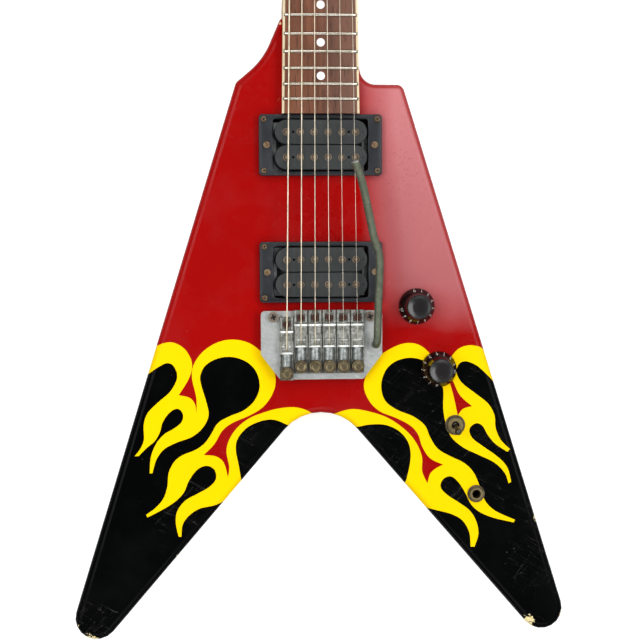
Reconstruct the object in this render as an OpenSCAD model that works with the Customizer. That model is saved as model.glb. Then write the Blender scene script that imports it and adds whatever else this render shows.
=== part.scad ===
// V-shaped solid-body electric guitar with a bolt-on neck and a floating tremolo.
// +X is the treble side, +Y runs to the headstock, +Z is the playing face.
// The origin lies on the flat back, on the centreline, under the end of the scale.

/* [Scale and neck] */
// Distance from the nut to the end of the scale
scale_len = 648; // [600:2:700]
// Number of frets
fret_count = 22; // [21:1:22]
// Neck width at the nut
nut_w = 43; // [40:0.5:46]
// Neck width at its body end
butt_w = 57; // [54:0.5:60]
// Board that runs on past the last fret
board_past_fret = 10.6; // [8:0.2:14]
// Thickness of the fingerboard at its middle
board_t = 6; // [5:0.25:7]
// Radius of the fingerboard's crown
board_r = 305; // [240:5:400]
// Thickness of the edge binding
binding_t = 1.6; // [1:0.1:2.5]
// Diameter of the position dots
dot_d = 6; // [4:0.5:7]
// Height of a fret above the board
fret_h = 1.2; // [0.9:0.1:1.5]
// Width of a fret's crown
fret_w = 2.4; // [2:0.1:3]
// Depth of the neck wood behind the board
neck_depth = 15; // [13:0.5:18]
// Height of the fingerboard's underside above the body's face
neck_stand = 3; // [1:0.5:5]
// Depth of the neck pocket in the body
pocket_depth = 16; // [14:0.5:18]

/* [Headstock] */
// Length of the headstock beyond the nut
head_len = 172; // [160:1:200]
// Greatest width of the headstock
head_w = 80; // [76:1:90]
// Thickness of the headstock
head_t = 14; // [12:0.5:16]
// Drop from the fingerboard's underside to the headstock's face
head_drop = 4; // [2:0.5:5]
// Distance between tuners along the headstock
tuner_pitch = 40; // [34:1:44]
// Distance of the tuner posts from the centreline
post_x = 26; // [23:0.5:28]

/* [Body] */
// Thickness of the body
body_t = 40; // [36:0.5:48]
// Radius of the rounded edge
edge_r = 5; // [3:0.5:7]
// Half the width between the wings' sharp tips, before they are rounded
tip_x = 206.7; // [190:0.5:240]
// Distance of the sharp tips behind the end of the scale
tip_y = 272; // [250:1:320]
// Radius of the wings' rounded tips
tip_r = 16; // [12:0.5:22]
// Distance of the notch's sharp apex behind the end of the scale
notch_y = 31.5; // [29:0.5:45]
// Radius of the notch's rounded apex
notch_r = 36; // [20:1:45]
// Half width of the body across its shoulders
shoulder_x = 62; // [58:0.5:72]
// Distance of the shoulders in front of the neck's body end
shoulder_rise = 22.5; // [18:0.5:30]
// Distance that the bass side runs up beside the neck, past the shoulders
bass_horn = 52; // [46:1:60]
// Distance that the treble side runs up beside the neck, past the shoulders
treble_horn = 19; // [16:1:28]
// Thickness of wood left over the control cavity
top_skin = 5; // [4:0.5:6]
// Thickness of the two back covers
cover_t = 2; // [1.5:0.1:2.5]

/* [Pickups] */
// Width of a pickup ring beyond its bobbins, on each side
ring_side = 11.5; // [10:0.5:14]
// Width of a mounting ring along the strings
ring_l = 45; // [43:0.5:48]
// Height of a mounting ring
ring_h = 5; // [4:0.5:6]
// Length of a bobbin
bobbin_w = 68; // [64:0.5:69]
// Width of a bobbin
bobbin_l = 18; // [16:0.25:18]
// Distance between pole screws
pole_pitch = 10.2; // [9.6:0.1:10.6]

/* [Strings and bridge] */
// Distance between strings at the bridge
string_pitch = 10.5; // [10:0.1:10.8]
// Distance between strings at the nut
nut_pitch = 7.1; // [6.8:0.1:7.4]
// Height of the strings above the body's face at the bridge
string_h = 13; // [12.5:0.1:14]
// Distance of the pivot posts beyond the outer saddles
post_out = 4.3; // [3.5:0.1:5.5]
// Distance of the pivot posts in front of the end of the scale
pivot_y = 21.8; // [20:0.2:24]
// Width of the tremolo plate beyond the pivot posts
plate_side = 9.2; // [8:0.1:12]
// Height of the plate's underside above the body's face
plate_lift = 4.8; // [4.4:0.1:5.5]
// Thickness of the tremolo's plate
plate_t = 2.5; // [2:0.1:3]
// Distance that the bass saddle stands behind the others
bass_setback = 5; // [0:0.5:6]
// Diameter of the tremolo arm
arm_d = 5.7; // [5:0.1:6]
// Diameter of a fine tuner's head
fine_d = 9.2; // [8:0.1:9.6]

/* [Controls] */
// Diameter of a knob's skirt
knob_skirt_d = 27; // [24:0.5:28]
// Diameter of a knob's grip
knob_grip_d = 19; // [16:0.5:21]
// Height of a knob
knob_h = 15.5; // [13:0.5:16]
// Diameter of the plug that the jack takes
plug_d = 6.35; // [6.3:0.05:6.4]

/* [Hidden] */
run_gap = 0.05;   // radial clearance of what turns in a bore
fit_gap = 0.1;    // clearance of what is pressed or screwed in place
seat_gap = 0.3;   // clearance between pieces that move past each other
fine = 48;        // facets of a small round in a blended shape
strings = [for (i = [0:5]) i - 2.5];
string_r = [0.58, 0.46, 0.36, 0.24, 0.18, 0.15];

function fret_y(n) = scale_len * pow(2, -n / 12);
butt_y = fret_y(fret_count) - board_past_fret;
nut_y = scale_len;
top = body_t;
board_z = top + neck_stand;
crown_z = board_z + board_t;
head_z = board_z - head_drop;
nut_len = 5;
nut_string_z = crown_z + 1.6;
saddle_string_z = top + string_h;
shoulder_y = butt_y + shoulder_rise;

function neck_half(y) = nut_w / 2 + (butt_w - nut_w) / 2 * (nut_y - y) / (nut_y - butt_y);
function string_x(s, y) = s * (string_pitch + (nut_pitch - string_pitch) * y / nut_y);
function string_z(y) = saddle_string_z + (nut_string_z - saddle_string_z) * y / nut_y;

// A closed outline from corners [x, y, radius], given anticlockwise. Each point of the
// result is [x, y, nx, ny], where n points out of the outline.
function unit(v) = v / norm(v);
function arc_at(a, b, c, r, steps) =
    let (u = unit(a - b), w = unit(c - b), half = acos(u * w) / 2,
         mid = b + unit(u + w) * r / sin(half),
         start = b + u * r / tan(half) - mid, stop = b + w * r / tan(half) - mid,
         from = atan2(start.y, start.x),
         bend = cross(b - a, c - b) > 0 ? 1 : -1,
         sweep = bend * (180 - 2 * half))
    [for (i = [0:steps]) let (t = from + sweep * i / steps)
        [mid.x + r * cos(t), mid.y + r * sin(t), bend * cos(t), bend * sin(t)]];
function corner(q) = [q.x, q.y];
function rounded(q, steps = 6) =
    [for (i = [0:len(q) - 1])
        each arc_at(corner(q[(i + len(q) - 1) % len(q)]), corner(q[i]),
                    corner(q[(i + 1) % len(q)]), q[i][2], steps)];
function inset(outline, d) = [for (p = outline) [p.x - d * p[2], p.y - d * p[3]]];

module rounded_plate(corners, height, shrink = 0) {
    linear_extrude(height) polygon(inset(rounded(corners), shrink));
}
module at(x, y, z) { translate([x, y, z]) children(); }
module hole(x, y, z0, z1, r) { at(x, y, z0) cylinder(r = r, h = z1 - z0, $fn = fine); }
module rod(a, b, r, sides = fine) {
    v = b - a;
    translate(a) rotate([0, acos(v.z / norm(v)), atan2(v.y, v.x)])
        cylinder(r = r, h = norm(v), $fn = sides);
}
module ring(r_out, r_in, height) {
    difference() {
        cylinder(r = r_out, h = height, $fn = fine);
        translate([0, 0, -1]) cylinder(r = r_in, h = height + 2, $fn = fine);
    }
}
// A cross slot in the top of a screw's head
module cross_slot(size, depth) {
    for (a = [0, 90]) rotate(a) cube([size, size / 4, depth * 2], center = true);
}

/* ---- Body ---- */

horn_bass_y = shoulder_y + bass_horn;
horn_treble_y = shoulder_y + treble_horn;
heel_treble = [neck_half(horn_treble_y) + 0.6, horn_treble_y];
heel_bass = [-neck_half(horn_bass_y) + 0.2, horn_bass_y];
outline = rounded([
    [tip_x, -tip_y, tip_r],
    [shoulder_x, shoulder_y, edge_r + 1],
    [neck_half(shoulder_y) + 3.5, shoulder_y, 12],
    [heel_treble.x, heel_treble.y, edge_r + 1],
    [heel_bass.x, heel_bass.y, edge_r + 1],
    [-neck_half(horn_bass_y) - 14.5, shoulder_y + 18, 55],
    [-shoulder_x, shoulder_y + 1, edge_r + 1],
    [-tip_x, -tip_y, tip_r],
    [0, -notch_y, notch_r]], 8);

// Depths of the routed cavities, from the back
pickup_floor = top - 19;
spring_roof = 15.5;
cavity_roof = top - top_skin;
recess = cover_t;

// Places of the controls
volume_at = [71.7, 28.7];
tone_at = [88.3, -18.7];
toggle_at = [101, -61];
jack_at = [117, -113.4];
pot_r = 12;

control_corners = [[56, -8, 6], [80, -80, 8], [110, -132, 8], [140, -132, 10], [122, -72, 10],
                   [108, 0, 10], [92, 47, 8], [56, 47, 6]];
cover_lip = 9;
module control_shape(height, out) {
    linear_extrude(height) polygon(inset(rounded(control_corners), -out));
}
// one screw stands in the lip outside each corner
control_screws = [for (k = [0:len(control_corners) - 1])
    let (p = rounded(control_corners)[k * 7 + 3]) [p.x + cover_lip / 2 * p[2], p.y + cover_lip / 2 * p[3]]];
block_w = 4.5 * string_pitch + 8.75;   // 4.5 pitches between the outer string holes
ring_w = bobbin_w + 2 * ring_side;
post_half = 3 * string_pitch + post_out;
post_bushing_r = 4.5;   // the pivot posts' bushings in the body
post_bushing_len = 20;
block_y = [-4, 12];
spring_front = 118;
spring_screws = [[-36, 50], [36, 50], [-36, 118], [36, 118], [-36, -20], [36, -20]];
spring_cover_y = [-26, 124];

neck_pickup_y = butt_y - seat_gap - ring_l / 2;
bridge_pickup_y = pivot_y + 10.5 + ring_l / 2;
pickup_ys = [neck_pickup_y, bridge_pickup_y];
ring_screw_at = [ring_w / 2 - 3.6, ring_l / 2 - 3.6];
ear_l = 13;
height_screw_x = ring_w / 2 - 5.6;

neck_screw_at = [[-16, 13], [16, 13], [-16, 50], [16, 34]];
ferrule_r = 7;
neck_screw_len = board_z - 7;
claw_screw_len = 36;
wood_screw_r = 2.1;
claw_y = 108;
claw_x = 8;
claw_z = 9.5;
heel_z = top - pocket_depth;

module body_blank() {
    // rings of the outline, drawn in and lifted along the rounded edge
    n = len(outline);
    bends = 4;
    levels = [for (k = [0:bends]) let (a = 90 * k / bends)
                  [edge_r * (1 - sin(a)), edge_r * (1 - cos(a))],
              for (k = [bends:-1:0]) let (a = 90 * k / bends)
                  [edge_r * (1 - sin(a)), body_t - edge_r * (1 - cos(a))]];
    last = len(levels) - 1;
    // a resize to nothing leaves the size alone and closes the blank as one shell
    resize([0, 0, 0]) polyhedron(
        [for (v = levels) each [for (p = inset(outline, v[0])) [p.x, p.y, v[1]]]],
        [[for (i = [0:n - 1]) i],
         for (k = [0:last - 1], i = [0:n - 1])
             [k * n + i, (k + 1) * n + i, (k + 1) * n + (i + 1) % n, k * n + (i + 1) % n],
         [for (i = [n - 1:-1:0]) last * n + i]]);
}

module neck_plan(y0, y1, out = 0) {
    polygon([[-neck_half(y0) - out, y0], [neck_half(y0) + out, y0],
             [neck_half(y1) + out, y1], [-neck_half(y1) - out, y1]]);
}

module pickup_cavity(y) {
    at(0, y, pickup_floor + 10) {
        cube([bobbin_w + 3, 2 * bobbin_l + 2, 20], center = true);
        cube([ring_w - 3, ear_l + 2, 20], center = true);
    }
}

strap_at = (heel_treble + heel_bass) / 2;
strap_turn = atan2(heel_bass.y - heel_treble.y, heel_treble.x - heel_bass.x);
strap_z = heel_z / 2;
module at_strap() {
    translate([strap_at.x, strap_at.y, strap_z]) rotate([-90, 0, -strap_turn]) children();
}

module body() {
    color("firebrick") difference() {
        body_blank();
        translate([0, 0, heel_z]) linear_extrude(body_t)
            neck_plan(butt_y - fit_gap, horn_bass_y + 40, fit_gap);
        for (y = pickup_ys) pickup_cavity(y);
        // room for the tremolo's block, and the spring bay in front of it
        translate([-block_w / 2 - 2.5, block_y[0] - 11, -1]) cube([block_w + 5, 32, body_t + 2]);
        translate([-27, 0, -1]) cube([54, spring_front, spring_roof + 1]);
        translate([-41, spring_cover_y[0], -1])
            cube([82, spring_cover_y[1] - spring_cover_y[0], recess + 1]);
        translate([0, 0, -1]) control_shape(cavity_roof + 1, 0);
        translate([0, 0, -1]) control_shape(recess + 1, cover_lip);
        for (c = [volume_at, tone_at]) hole(c.x, c.y, cavity_roof - 1, top + 1, 4);
        hole(toggle_at.x, toggle_at.y, cavity_roof - 1, top + 1, 6);
        hole(jack_at.x, jack_at.y, cavity_roof - 1, top + 1, 5);
        for (s = [-1, 1]) hole(s * post_half, pivot_y, top - post_bushing_len - 4, top + 1,
            post_bushing_r + fit_gap);
        for (c = neck_screw_at) {
            hole(c.x, butt_y + c.y, -1, heel_z + 1, wood_screw_r + fit_gap);
            hole(c.x, butt_y + c.y, -1, 3.5, ferrule_r + fit_gap);
        }
        for (s = [-1, 1]) rod([s * claw_x, spring_front - 1, claw_z],
                              [s * claw_x, claw_y - 3 + claw_screw_len + 1, claw_z],
                              wood_screw_r + fit_gap);
        for (y = pickup_ys, sx = [-1, 1], sy = [-1, 1])
            hole(sx * ring_screw_at.x, y + sy * ring_screw_at.y, top - 9, top + 1, small_r + fit_gap);
        for (c = concat(control_screws, spring_screws)) hole(c.x, c.y, -1, 12, small_r + fit_gap);
        at_strap() translate([0, 0, -22]) cylinder(r = small_r + fit_gap, h = 30, $fn = fine);
        // wiring way from the pickups to the controls
        rod([30, bridge_pickup_y, pickup_floor + 5], [62, 34, pickup_floor + 5], 3);
        rod([24, bridge_pickup_y + 10, pickup_floor + 5], [24, neck_pickup_y - 10, pickup_floor + 5], 3);
    }
}

/* ---- Neck ---- */

head_screw_y = nut_y + nut_len + 24;
tuner_ys = [for (i = [0:2]) nut_y + 48 + i * tuner_pitch];
tuners = [for (i = [0:2]) [-post_x, tuner_ys[i]], for (i = [2:-1:0]) [post_x, tuner_ys[i]]];
post_r = 3;
bushing_r = 4.8;
head_corners = [[nut_w / 2, nut_y - 1, 1], [head_w / 2, nut_y + 26, 14],
                [head_w / 2 - 5, nut_y + head_len - 14, 16], [0, nut_y + head_len, 10],
                [-head_w / 2 + 5, nut_y + head_len - 14, 16], [-head_w / 2, nut_y + 26, 14],
                [-nut_w / 2, nut_y - 1, 1]];
rod_z = board_z - 6;

module neck_slice(y, depth) {
    half = neck_half(y);
    translate([0, y, board_z]) rotate([90, 0, 0]) linear_extrude(0.2)
        polygon([for (i = [0:24]) let (a = 180 * i / 24) [half * cos(a), -depth * pow(sin(a), 0.8)]]);
}

module neck() {
    heel_end = horn_bass_y + 4;
    color("peru") difference() {
        // joined as one shell, so that the holes are cut last
        resize([0, 0, 0]) union() {
            translate([0, 0, heel_z]) linear_extrude(board_z - heel_z) neck_plan(butt_y, heel_end);
            hull() {
                translate([0, 0, heel_z]) linear_extrude(board_z - heel_z)
                    neck_plan(heel_end - 1, heel_end);
                neck_slice(heel_end + 26, neck_depth + 1);
            }
            hull() {
                neck_slice(heel_end + 26, neck_depth + 1);
                neck_slice(nut_y + nut_len, neck_depth - 1);
            }
            translate([0, 0, head_z - head_t]) rounded_plate(head_corners, head_t);
        }
        // channel for the truss rod, open under the fingerboard and at the headstock
        translate([-3 - fit_gap, butt_y + 12, rod_z - 3 - fit_gap])
            cube([6 + 2 * fit_gap, nut_y + nut_len + 10 - butt_y, 20]);
        translate([-head_w / 2, nut_y + nut_len, head_z]) cube([head_w, head_len, 10]);
        for (c = tuners) hole(c.x, c.y, head_z - head_t - 1, head_z + 1, bushing_r + fit_gap);
        for (c = neck_screw_at)
            hole(c.x, butt_y + c.y, heel_z - 1, neck_screw_len + 3.4, wood_screw_r + fit_gap);
        hole(0, head_screw_y + 6, head_z - 9, head_z + 1, small_r + fit_gap);
    }
}

module crown(r) {
    translate([0, butt_y - 10, crown_z - board_r]) rotate([-90, 0, 0])
        cylinder(r = r, h = nut_y - butt_y + 20, $fn = 720);
}

dot_frets = [3, 5, 7, 9, 15, 17, 19, 21];
function between(n) = (fret_y(n) + fret_y(n - 1)) / 2;
dots = concat([for (n = dot_frets) [0, between(n)]], [[-14, between(12)], [14, between(12)]]);
tang_w = 0.5;
tang_h = 1.8;

module fingerboard() {
    color("saddlebrown") difference() {
        intersection() {
            translate([0, 0, board_z]) linear_extrude(board_t + 1) neck_plan(butt_y, nut_y, -binding_t);
            crown(board_r);
        }
        for (c = dots) hole(c.x, c.y, crown_z - 2, crown_z + 1, dot_d / 2);
        for (n = [1:fret_count]) translate([-40, fret_y(n) - tang_w / 2 - run_gap, crown_z - tang_h - 2])
            cube([80, tang_w + 2 * run_gap, tang_h + 4]);
    }
}

module fingerboard_binding() {
    color("cornsilk") intersection() {
        translate([0, 0, board_z]) linear_extrude(board_t + 1) difference() {
            neck_plan(butt_y, nut_y);
            neck_plan(butt_y - 1, nut_y + 1, -binding_t);
        }
        crown(board_r);
    }
}

module frets() {
    color("silver") for (n = [1:fret_count]) intersection() {
        translate([0, 0, crown_z - tang_h - 1]) linear_extrude(10)
            neck_plan(fret_y(n) - 2, fret_y(n) + 2, -0.4);
        union() {
            difference() {
                intersection() {
                    crown(board_r + fret_h);
                    translate([-40, fret_y(n) - fret_w / 2, 0]) cube([80, fret_w, 100]);
                }
                crown(board_r);
            }
            intersection() {
                crown(board_r + fret_h / 2);
                // the tang stops inside the binding
                translate([0, 0, crown_z - tang_h - 1]) linear_extrude(10) intersection() {
                    neck_plan(fret_y(n) - 2, fret_y(n) + 2, -binding_t - fit_gap);
                    translate([-40, fret_y(n) - tang_w / 2]) square([80, tang_w]);
                }
            }
        }
    }
}

module inlay_dots() {
    color("ivory") intersection() {
        for (c = dots) hole(c.x, c.y, crown_z - 2, crown_z + 1, dot_d / 2);
        crown(board_r);
    }
}

module nut() {
    color("ivory") difference() {
        translate([-nut_w / 2, nut_y, board_z]) cube([nut_w, nut_len, nut_string_z + 1 - board_z]);
        for (i = [0:5]) {
            x = string_x(strings[i], nut_y);
            rod([x, nut_y - 2, nut_string_z], [x, nut_y + nut_len + 2, nut_string_z], string_r[i] + run_gap);
            translate([x - string_r[i] - run_gap, nut_y - 1, nut_string_z])
                cube([2 * (string_r[i] + run_gap), nut_len + 2, 5]);
        }
    }
}

module truss_rod() {
    color("gray") union() {
        rod([0, butt_y + 14, rod_z], [0, nut_y + nut_len + 10, rod_z], 3);
        rod([0, nut_y + nut_len + 8, rod_z], [0, nut_y + nut_len + 19, rod_z], 2.8, 6);
    }
}

module truss_rod_cover() {
    color("black") difference() {
        translate([0, 0, head_z + fit_gap]) rounded_plate([[-11, nut_y + nut_len + 1, 2],
            [11, nut_y + nut_len + 1, 2], [7, head_screw_y + 12, 5], [-7, head_screw_y + 12, 5]], 2);
        hole(0, head_screw_y + 6, head_z - 1, head_z + 4, small_r + fit_gap);
        // hollow over the rod's end
        translate([-4, nut_y, head_z - 1]) cube([8, 27, 2.2]);
    }
}

/* ---- Tuners ---- */

worm_y = 7.6;
gear_r = 5;
box_t = 11;
box_z = head_z - head_t - box_t;
worm_z = box_z + box_t / 2;
function side(c) = c.x > 0 ? 1 : -1;

module tuner_housings() {
    color("dimgray") for (c = tuners) difference() {
        translate([c.x - 9, c.y - 8, box_z]) cube([18, 20, box_t]);
        hole(c.x, c.y, box_z + 2, box_z + box_t + 1, post_r + run_gap);
        hole(c.x, c.y, worm_z - 2, worm_z + 2, gear_r + seat_gap);
        rod([c.x - side(c) * 6, c.y + worm_y, worm_z], [c.x + side(c) * 10, c.y + worm_y, worm_z],
            2 + run_gap);
    }
}

module tuner_bushings() {
    color("silver") for (c = tuners) at(c.x, c.y, head_z - 10) {
        ring(bushing_r, post_r + run_gap, 12);
        translate([0, 0, 10]) difference() {
            cylinder(r = 7, h = 2.4, $fn = 6);
            translate([0, 0, -1]) cylinder(r = post_r + run_gap, h = 5, $fn = fine);
        }
    }
}

module tuner_post(i) {
    c = tuners[i];
    color("silver") difference() {
        union() {
            hole(c.x, c.y, box_z + 2.3, head_z + 13, post_r);
            hole(c.x, c.y, worm_z - 1.6, worm_z + 1.6, gear_r);
            hole(c.x, c.y, head_z + 11, head_z + 13, post_r + 0.6);
        }
        hole(c.x, c.y, head_z + 10, head_z + 14, 0.8);
    }
}

module tuner_button(i) {
    c = tuners[i];
    s = side(c);
    edge = head_w / 2 + 5;
    color("silver") union() {
        rod([c.x - s * 5.6, c.y + worm_y, worm_z], [s * (edge + 2), c.y + worm_y, worm_z], 2);
        translate([s * edge, c.y + worm_y, worm_z]) rotate([0, s * 90, 0]) ring(3.4, 0.5, 2);
        translate([s * (edge + 9), c.y + worm_y, worm_z]) rotate([90, 0, 0])
            translate([0, 0, -3]) rounded_plate([[-8, -8, 4], [8, -8, 6], [8, 8, 6], [-8, 8, 4]], 6);
    }
}

/* ---- Strings ---- */

clamp_y = 5;   // where a string dips into its saddle
function saddle_back(i) = i == 0 ? bass_setback : 0;

module strings_set() {
    color("lightgray") for (i = [0:5]) {
        s = strings[i];
        r = string_r[i];
        c = tuners[i];
        wrap_z = head_z + 6;
        over = [string_x(s, nut_y + nut_len), nut_y + nut_len - 0.4, nut_string_z];
        post = [c.x - side(c) * (post_r + r + run_gap), c.y, wrap_z];
        back = clamp_y - saddle_back(i);
        union() {
            rod([string_x(s, back), back, string_z(back)],
                [string_x(s, nut_y), nut_y + nut_len, nut_string_z], r, 8);
            rod(over, post, r, 8);
            for (k = [-1:1]) at(c.x, c.y, wrap_z + k * 1.9 * r) rotate_extrude($fn = fine)
                translate([post_r + r + run_gap, 0]) circle(r = r, $fn = 6);
        }
    }
}

/* ---- Fasteners ---- */

small_r = 1.2;
small_head_r = 2.3;
module small_screw(length) {
    // the head's underside is at z = 0 and the shank runs down
    difference() {
        union() {
            cylinder(r1 = small_head_r, r2 = small_head_r - 0.6, h = 1.2, $fn = fine);
            translate([0, 0, -length]) cylinder(r = small_r, h = length + 0.5, $fn = fine);
        }
        translate([0, 0, 1.2]) cross_slot(2.8, 0.7);
    }
}

module small_screws() {
    color("darkgray") {
        for (y = pickup_ys, sx = [-1, 1], sy = [-1, 1])
            at(sx * ring_screw_at.x, y + sy * ring_screw_at.y, top + ring_h) small_screw(ring_h + 6);
        for (c = concat(control_screws, spring_screws)) at(c.x, c.y, 1.4) mirror([0, 0, 1])
            small_screw(9);
        at(0, head_screw_y + 6, head_z + 2 + fit_gap) small_screw(9);
        at_strap() translate([0, 0, 14.2]) small_screw(30);
    }
}

module wood_screw(length) {
    difference() {
        union() {
            cylinder(r = 4.2, h = 2.4, $fn = fine);
            cylinder(r = wood_screw_r, h = length, $fn = fine);
        }
        cross_slot(5, 1.4);
    }
}

module wood_screws() {
    color("gray") {
        for (c = neck_screw_at) at(c.x, butt_y + c.y, 0.8) wood_screw(neck_screw_len);
        for (s = [-1, 1]) translate([s * claw_x, claw_y - 3.6, claw_z]) rotate([-90, 0, 0])
            wood_screw(claw_screw_len);
    }
}

module neck_ferrules() {
    color("silver") for (c = neck_screw_at) at(c.x, butt_y + c.y, 0.2) difference() {
        cylinder(r = ferrule_r, h = 3.3, $fn = fine);
        translate([0, 0, 0.6 + 2.4 - 4]) cylinder(r = 4.2 + fit_gap, h = 4, $fn = fine);
        cylinder(r = wood_screw_r + fit_gap, h = 5, $fn = fine);
    }
}

module strap_button() {
    color("silver") at_strap() translate([0, 0, 0.2]) difference() {
        rotate_extrude($fn = fine) polygon([[small_r + run_gap, 0], [7, 0], [7, 2], [4, 4], [4, 9],
            [6.5, 11], [6.5, 13], [5, 14], [small_r + run_gap, 14]]);
    }
}

/* ---- Pickups ---- */

base_z = pickup_floor + 4;
magnet_z = base_z + 1.4;
magnet_t = 3.2;
bobbin_z = magnet_z + magnet_t;
bobbin_top = top + 8.6;
pole_rows = [-bobbin_l / 2 - 0.25, bobbin_l / 2 + 0.25];
poles = [for (y = pole_rows, s = strings) [s * pole_pitch, y]];
pole_r = 2.2;

module pickup_rings() {
    color("#151515") for (y = pickup_ys) at(0, y, top) difference() {
        rounded_plate([[ring_w / 2, ring_l / 2, 2.5], [-ring_w / 2, ring_l / 2, 2.5],
            [-ring_w / 2, -ring_l / 2, 2.5], [ring_w / 2, -ring_l / 2, 2.5]], ring_h);
        translate([0, 0, -1]) rounded_plate([[bobbin_w / 2 + 1, bobbin_l + 1, 2],
            [-bobbin_w / 2 - 1, bobbin_l + 1, 2], [-bobbin_w / 2 - 1, -bobbin_l - 1, 2],
            [bobbin_w / 2 + 1, -bobbin_l - 1, 2]], ring_h + 2);
        for (sx = [-1, 1], sy = [-1, 1])
            hole(sx * ring_screw_at.x, sy * ring_screw_at.y, -1, ring_h + 1, small_r + fit_gap);
        for (sx = [-1, 1]) hole(sx * height_screw_x, 0, -1, ring_h + 1, 1.5 + fit_gap);
    }
}

module pickup_baseplates() {
    color("silver") for (y = pickup_ys) at(0, y, base_z) difference() {
        union() {
            translate([-bobbin_w / 2, -bobbin_l, 0]) cube([bobbin_w, 2 * bobbin_l, 1.4]);
            translate([-ring_w / 2 + 2, -ear_l / 2, 0]) cube([ring_w - 4, ear_l, 1.4]);
        }
        for (sx = [-1, 1]) hole(sx * height_screw_x, 0, -1, 3, 1.5 + fit_gap);
    }
}

module pickup_magnets() {
    color("gray") for (y = pickup_ys) at(0, y, magnet_z)
        translate([-32, -6, 0]) cube([64, 12, magnet_t]);
}

module pickup_bobbins() {
    tall = bobbin_top - bobbin_z;
    half = bobbin_w / 2;
    color("#101010") for (y = pickup_ys, row = pole_rows) at(0, y + row, bobbin_z) difference() {
        r = bobbin_l / 2;
        linear_extrude(tall) union() {
            for (s = [-1, 1]) translate([s * (half - r), 0]) circle(r = r, $fn = fine);
            square([2 * (half - r), 2 * r], center = true);
        }
        for (s = strings) hole(s * pole_pitch, 0, -1, tall + 1, pole_r + run_gap);
    }
}

module pole_screws() {
    color("gray") for (y = pickup_ys, c = poles) at(c.x, y + c.y, 0) difference() {
        union() {
            hole(0, 0, bobbin_top - 8, bobbin_top + 0.4, pole_r);
            hole(0, 0, magnet_z + 0.2, bobbin_top - 7, 1.4);
        }
        hole(0, 0, bobbin_top - 2, bobbin_top + 1, 1.3);
    }
}

module height_screws() {
    color("gray") for (y = pickup_ys, s = [-1, 1]) at(s * height_screw_x, y, 0) difference() {
        union() {
            hole(0, 0, base_z - 1.5, top + ring_h + 0.5, 1.5);
            hole(0, 0, top + ring_h, top + ring_h + 1.2, 2.4);
        }
        at(0, 0, top + ring_h + 1.2) cross_slot(3, 0.7);
    }
}

/* ---- Controls ---- */

pot_bushing_r = 3.8;
shaft_r = 3;
nut_t = 2.2;
knob_z = top + 0.6;
switch_r = 5.8;
jack_r = 4.8;
plug_r = plug_d / 2 + run_gap;
pot_h = 10;

module pots() {
    color("silver") for (c = [volume_at, tone_at]) at(c.x, c.y, cavity_roof) difference() {
        union() {
            translate([0, 0, -pot_h]) cylinder(r = pot_r, h = pot_h, $fn = fine);
            cylinder(r = pot_bushing_r, h = top_skin + 3.4, $fn = fine);
            // solder lugs
            for (k = [-1:1]) translate([pot_r - 1, k * 5 - 1, -3]) cube([5, 2, 0.8]);
        }
        translate([0, 0, 1.5 - pot_h]) cylinder(r = shaft_r + run_gap, h = 30, $fn = fine);
    }
}

module pot_shaft(c) {
    color("silver") at(c.x, c.y, 0) difference() {
        hole(0, 0, cavity_roof - pot_h + 1.8, knob_z + knob_h - 3, shaft_r);
        // slot that grips the knob
        translate([0, 0, knob_z + knob_h - 6]) cube([8, 0.8, 8], center = true);
    }
}

module knob(c) {
    color("#0c0c0c") at(c.x, c.y, knob_z) difference() {
        rotate_extrude($fn = 96) polygon([[shaft_r + 0.02, 0], [knob_skirt_d / 2 - 0.4, 0],
            [knob_skirt_d / 2, 0.6], [knob_skirt_d / 2, 1.8], [knob_grip_d / 2 + 0.8, 6.2],
            [knob_grip_d / 2, knob_h - 1], [knob_grip_d / 2 - 1, knob_h], [0, knob_h],
            [0, knob_h - 2.8], [shaft_r + 0.02, knob_h - 2.8]]);
        translate([0, 0, -1]) cylinder(r = 7.6, h = 4, $fn = fine);
    }
}

module panel_nut(r, r_in) {
    difference() {
        union() {
            cylinder(r = r, h = 0.8, $fn = fine);
            cylinder(r = r * 0.92, h = nut_t, $fn = 6);
        }
        translate([0, 0, -1]) cylinder(r = r_in, h = nut_t + 2, $fn = fine);
    }
}

module panel_nuts() {
    color("darkkhaki") {
        for (c = [volume_at, tone_at]) at(c.x, c.y, top) panel_nut(6.6, pot_bushing_r + run_gap);
        at(toggle_at.x, toggle_at.y, top) panel_nut(7.6, switch_r + run_gap);
        at(jack_at.x, jack_at.y, top) panel_nut(6.6, jack_r + run_gap);
    }
}

module tone_capacitor() {
    color("chocolate") at(tone_at.x, tone_at.y, cavity_roof - pot_h - 5)
        rounded_plate([[7, 4, 2], [-7, 4, 2], [-7, -4, 2], [7, -4, 2]], 5);
}

ball_z = top - 0.6;
ball_r = 2.9;
lever_tilt = 12;
lever_gap = 0.05;
module switch_body() {
    color("silver") at(toggle_at.x, toggle_at.y, 0) difference() {
        union() {
            translate([-8, -15, cavity_roof - 16]) cube([16, 30, 16]);
            hole(0, 0, cavity_roof - 1, top + 2.6, switch_r);
        }
        hole(0, 0, cavity_roof - 1, top + 4, ball_r + lever_gap);
        // room for the lever's tail
        translate([-4, -4, cavity_roof - 9]) cube([8, 8, 8.5]);
    }
}

module toggle_lever() {
    color("dimgray") translate([toggle_at.x, toggle_at.y, ball_z]) rotate([lever_tilt, 0, 0]) union() {
        sphere(r = ball_r, $fn = fine);
        cylinder(r1 = 1.5, r2 = 1.7, h = 11, $fn = fine);
        translate([0, 0, 10.5]) cylinder(r1 = 1.7, r2 = 2.6, h = 5, $fn = fine);
        translate([0, 0, 15.5]) sphere(r = 2.6, $fn = fine);
        translate([0, 0, -8]) cylinder(r = 1, h = 8, $fn = fine);
    }
}

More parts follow.
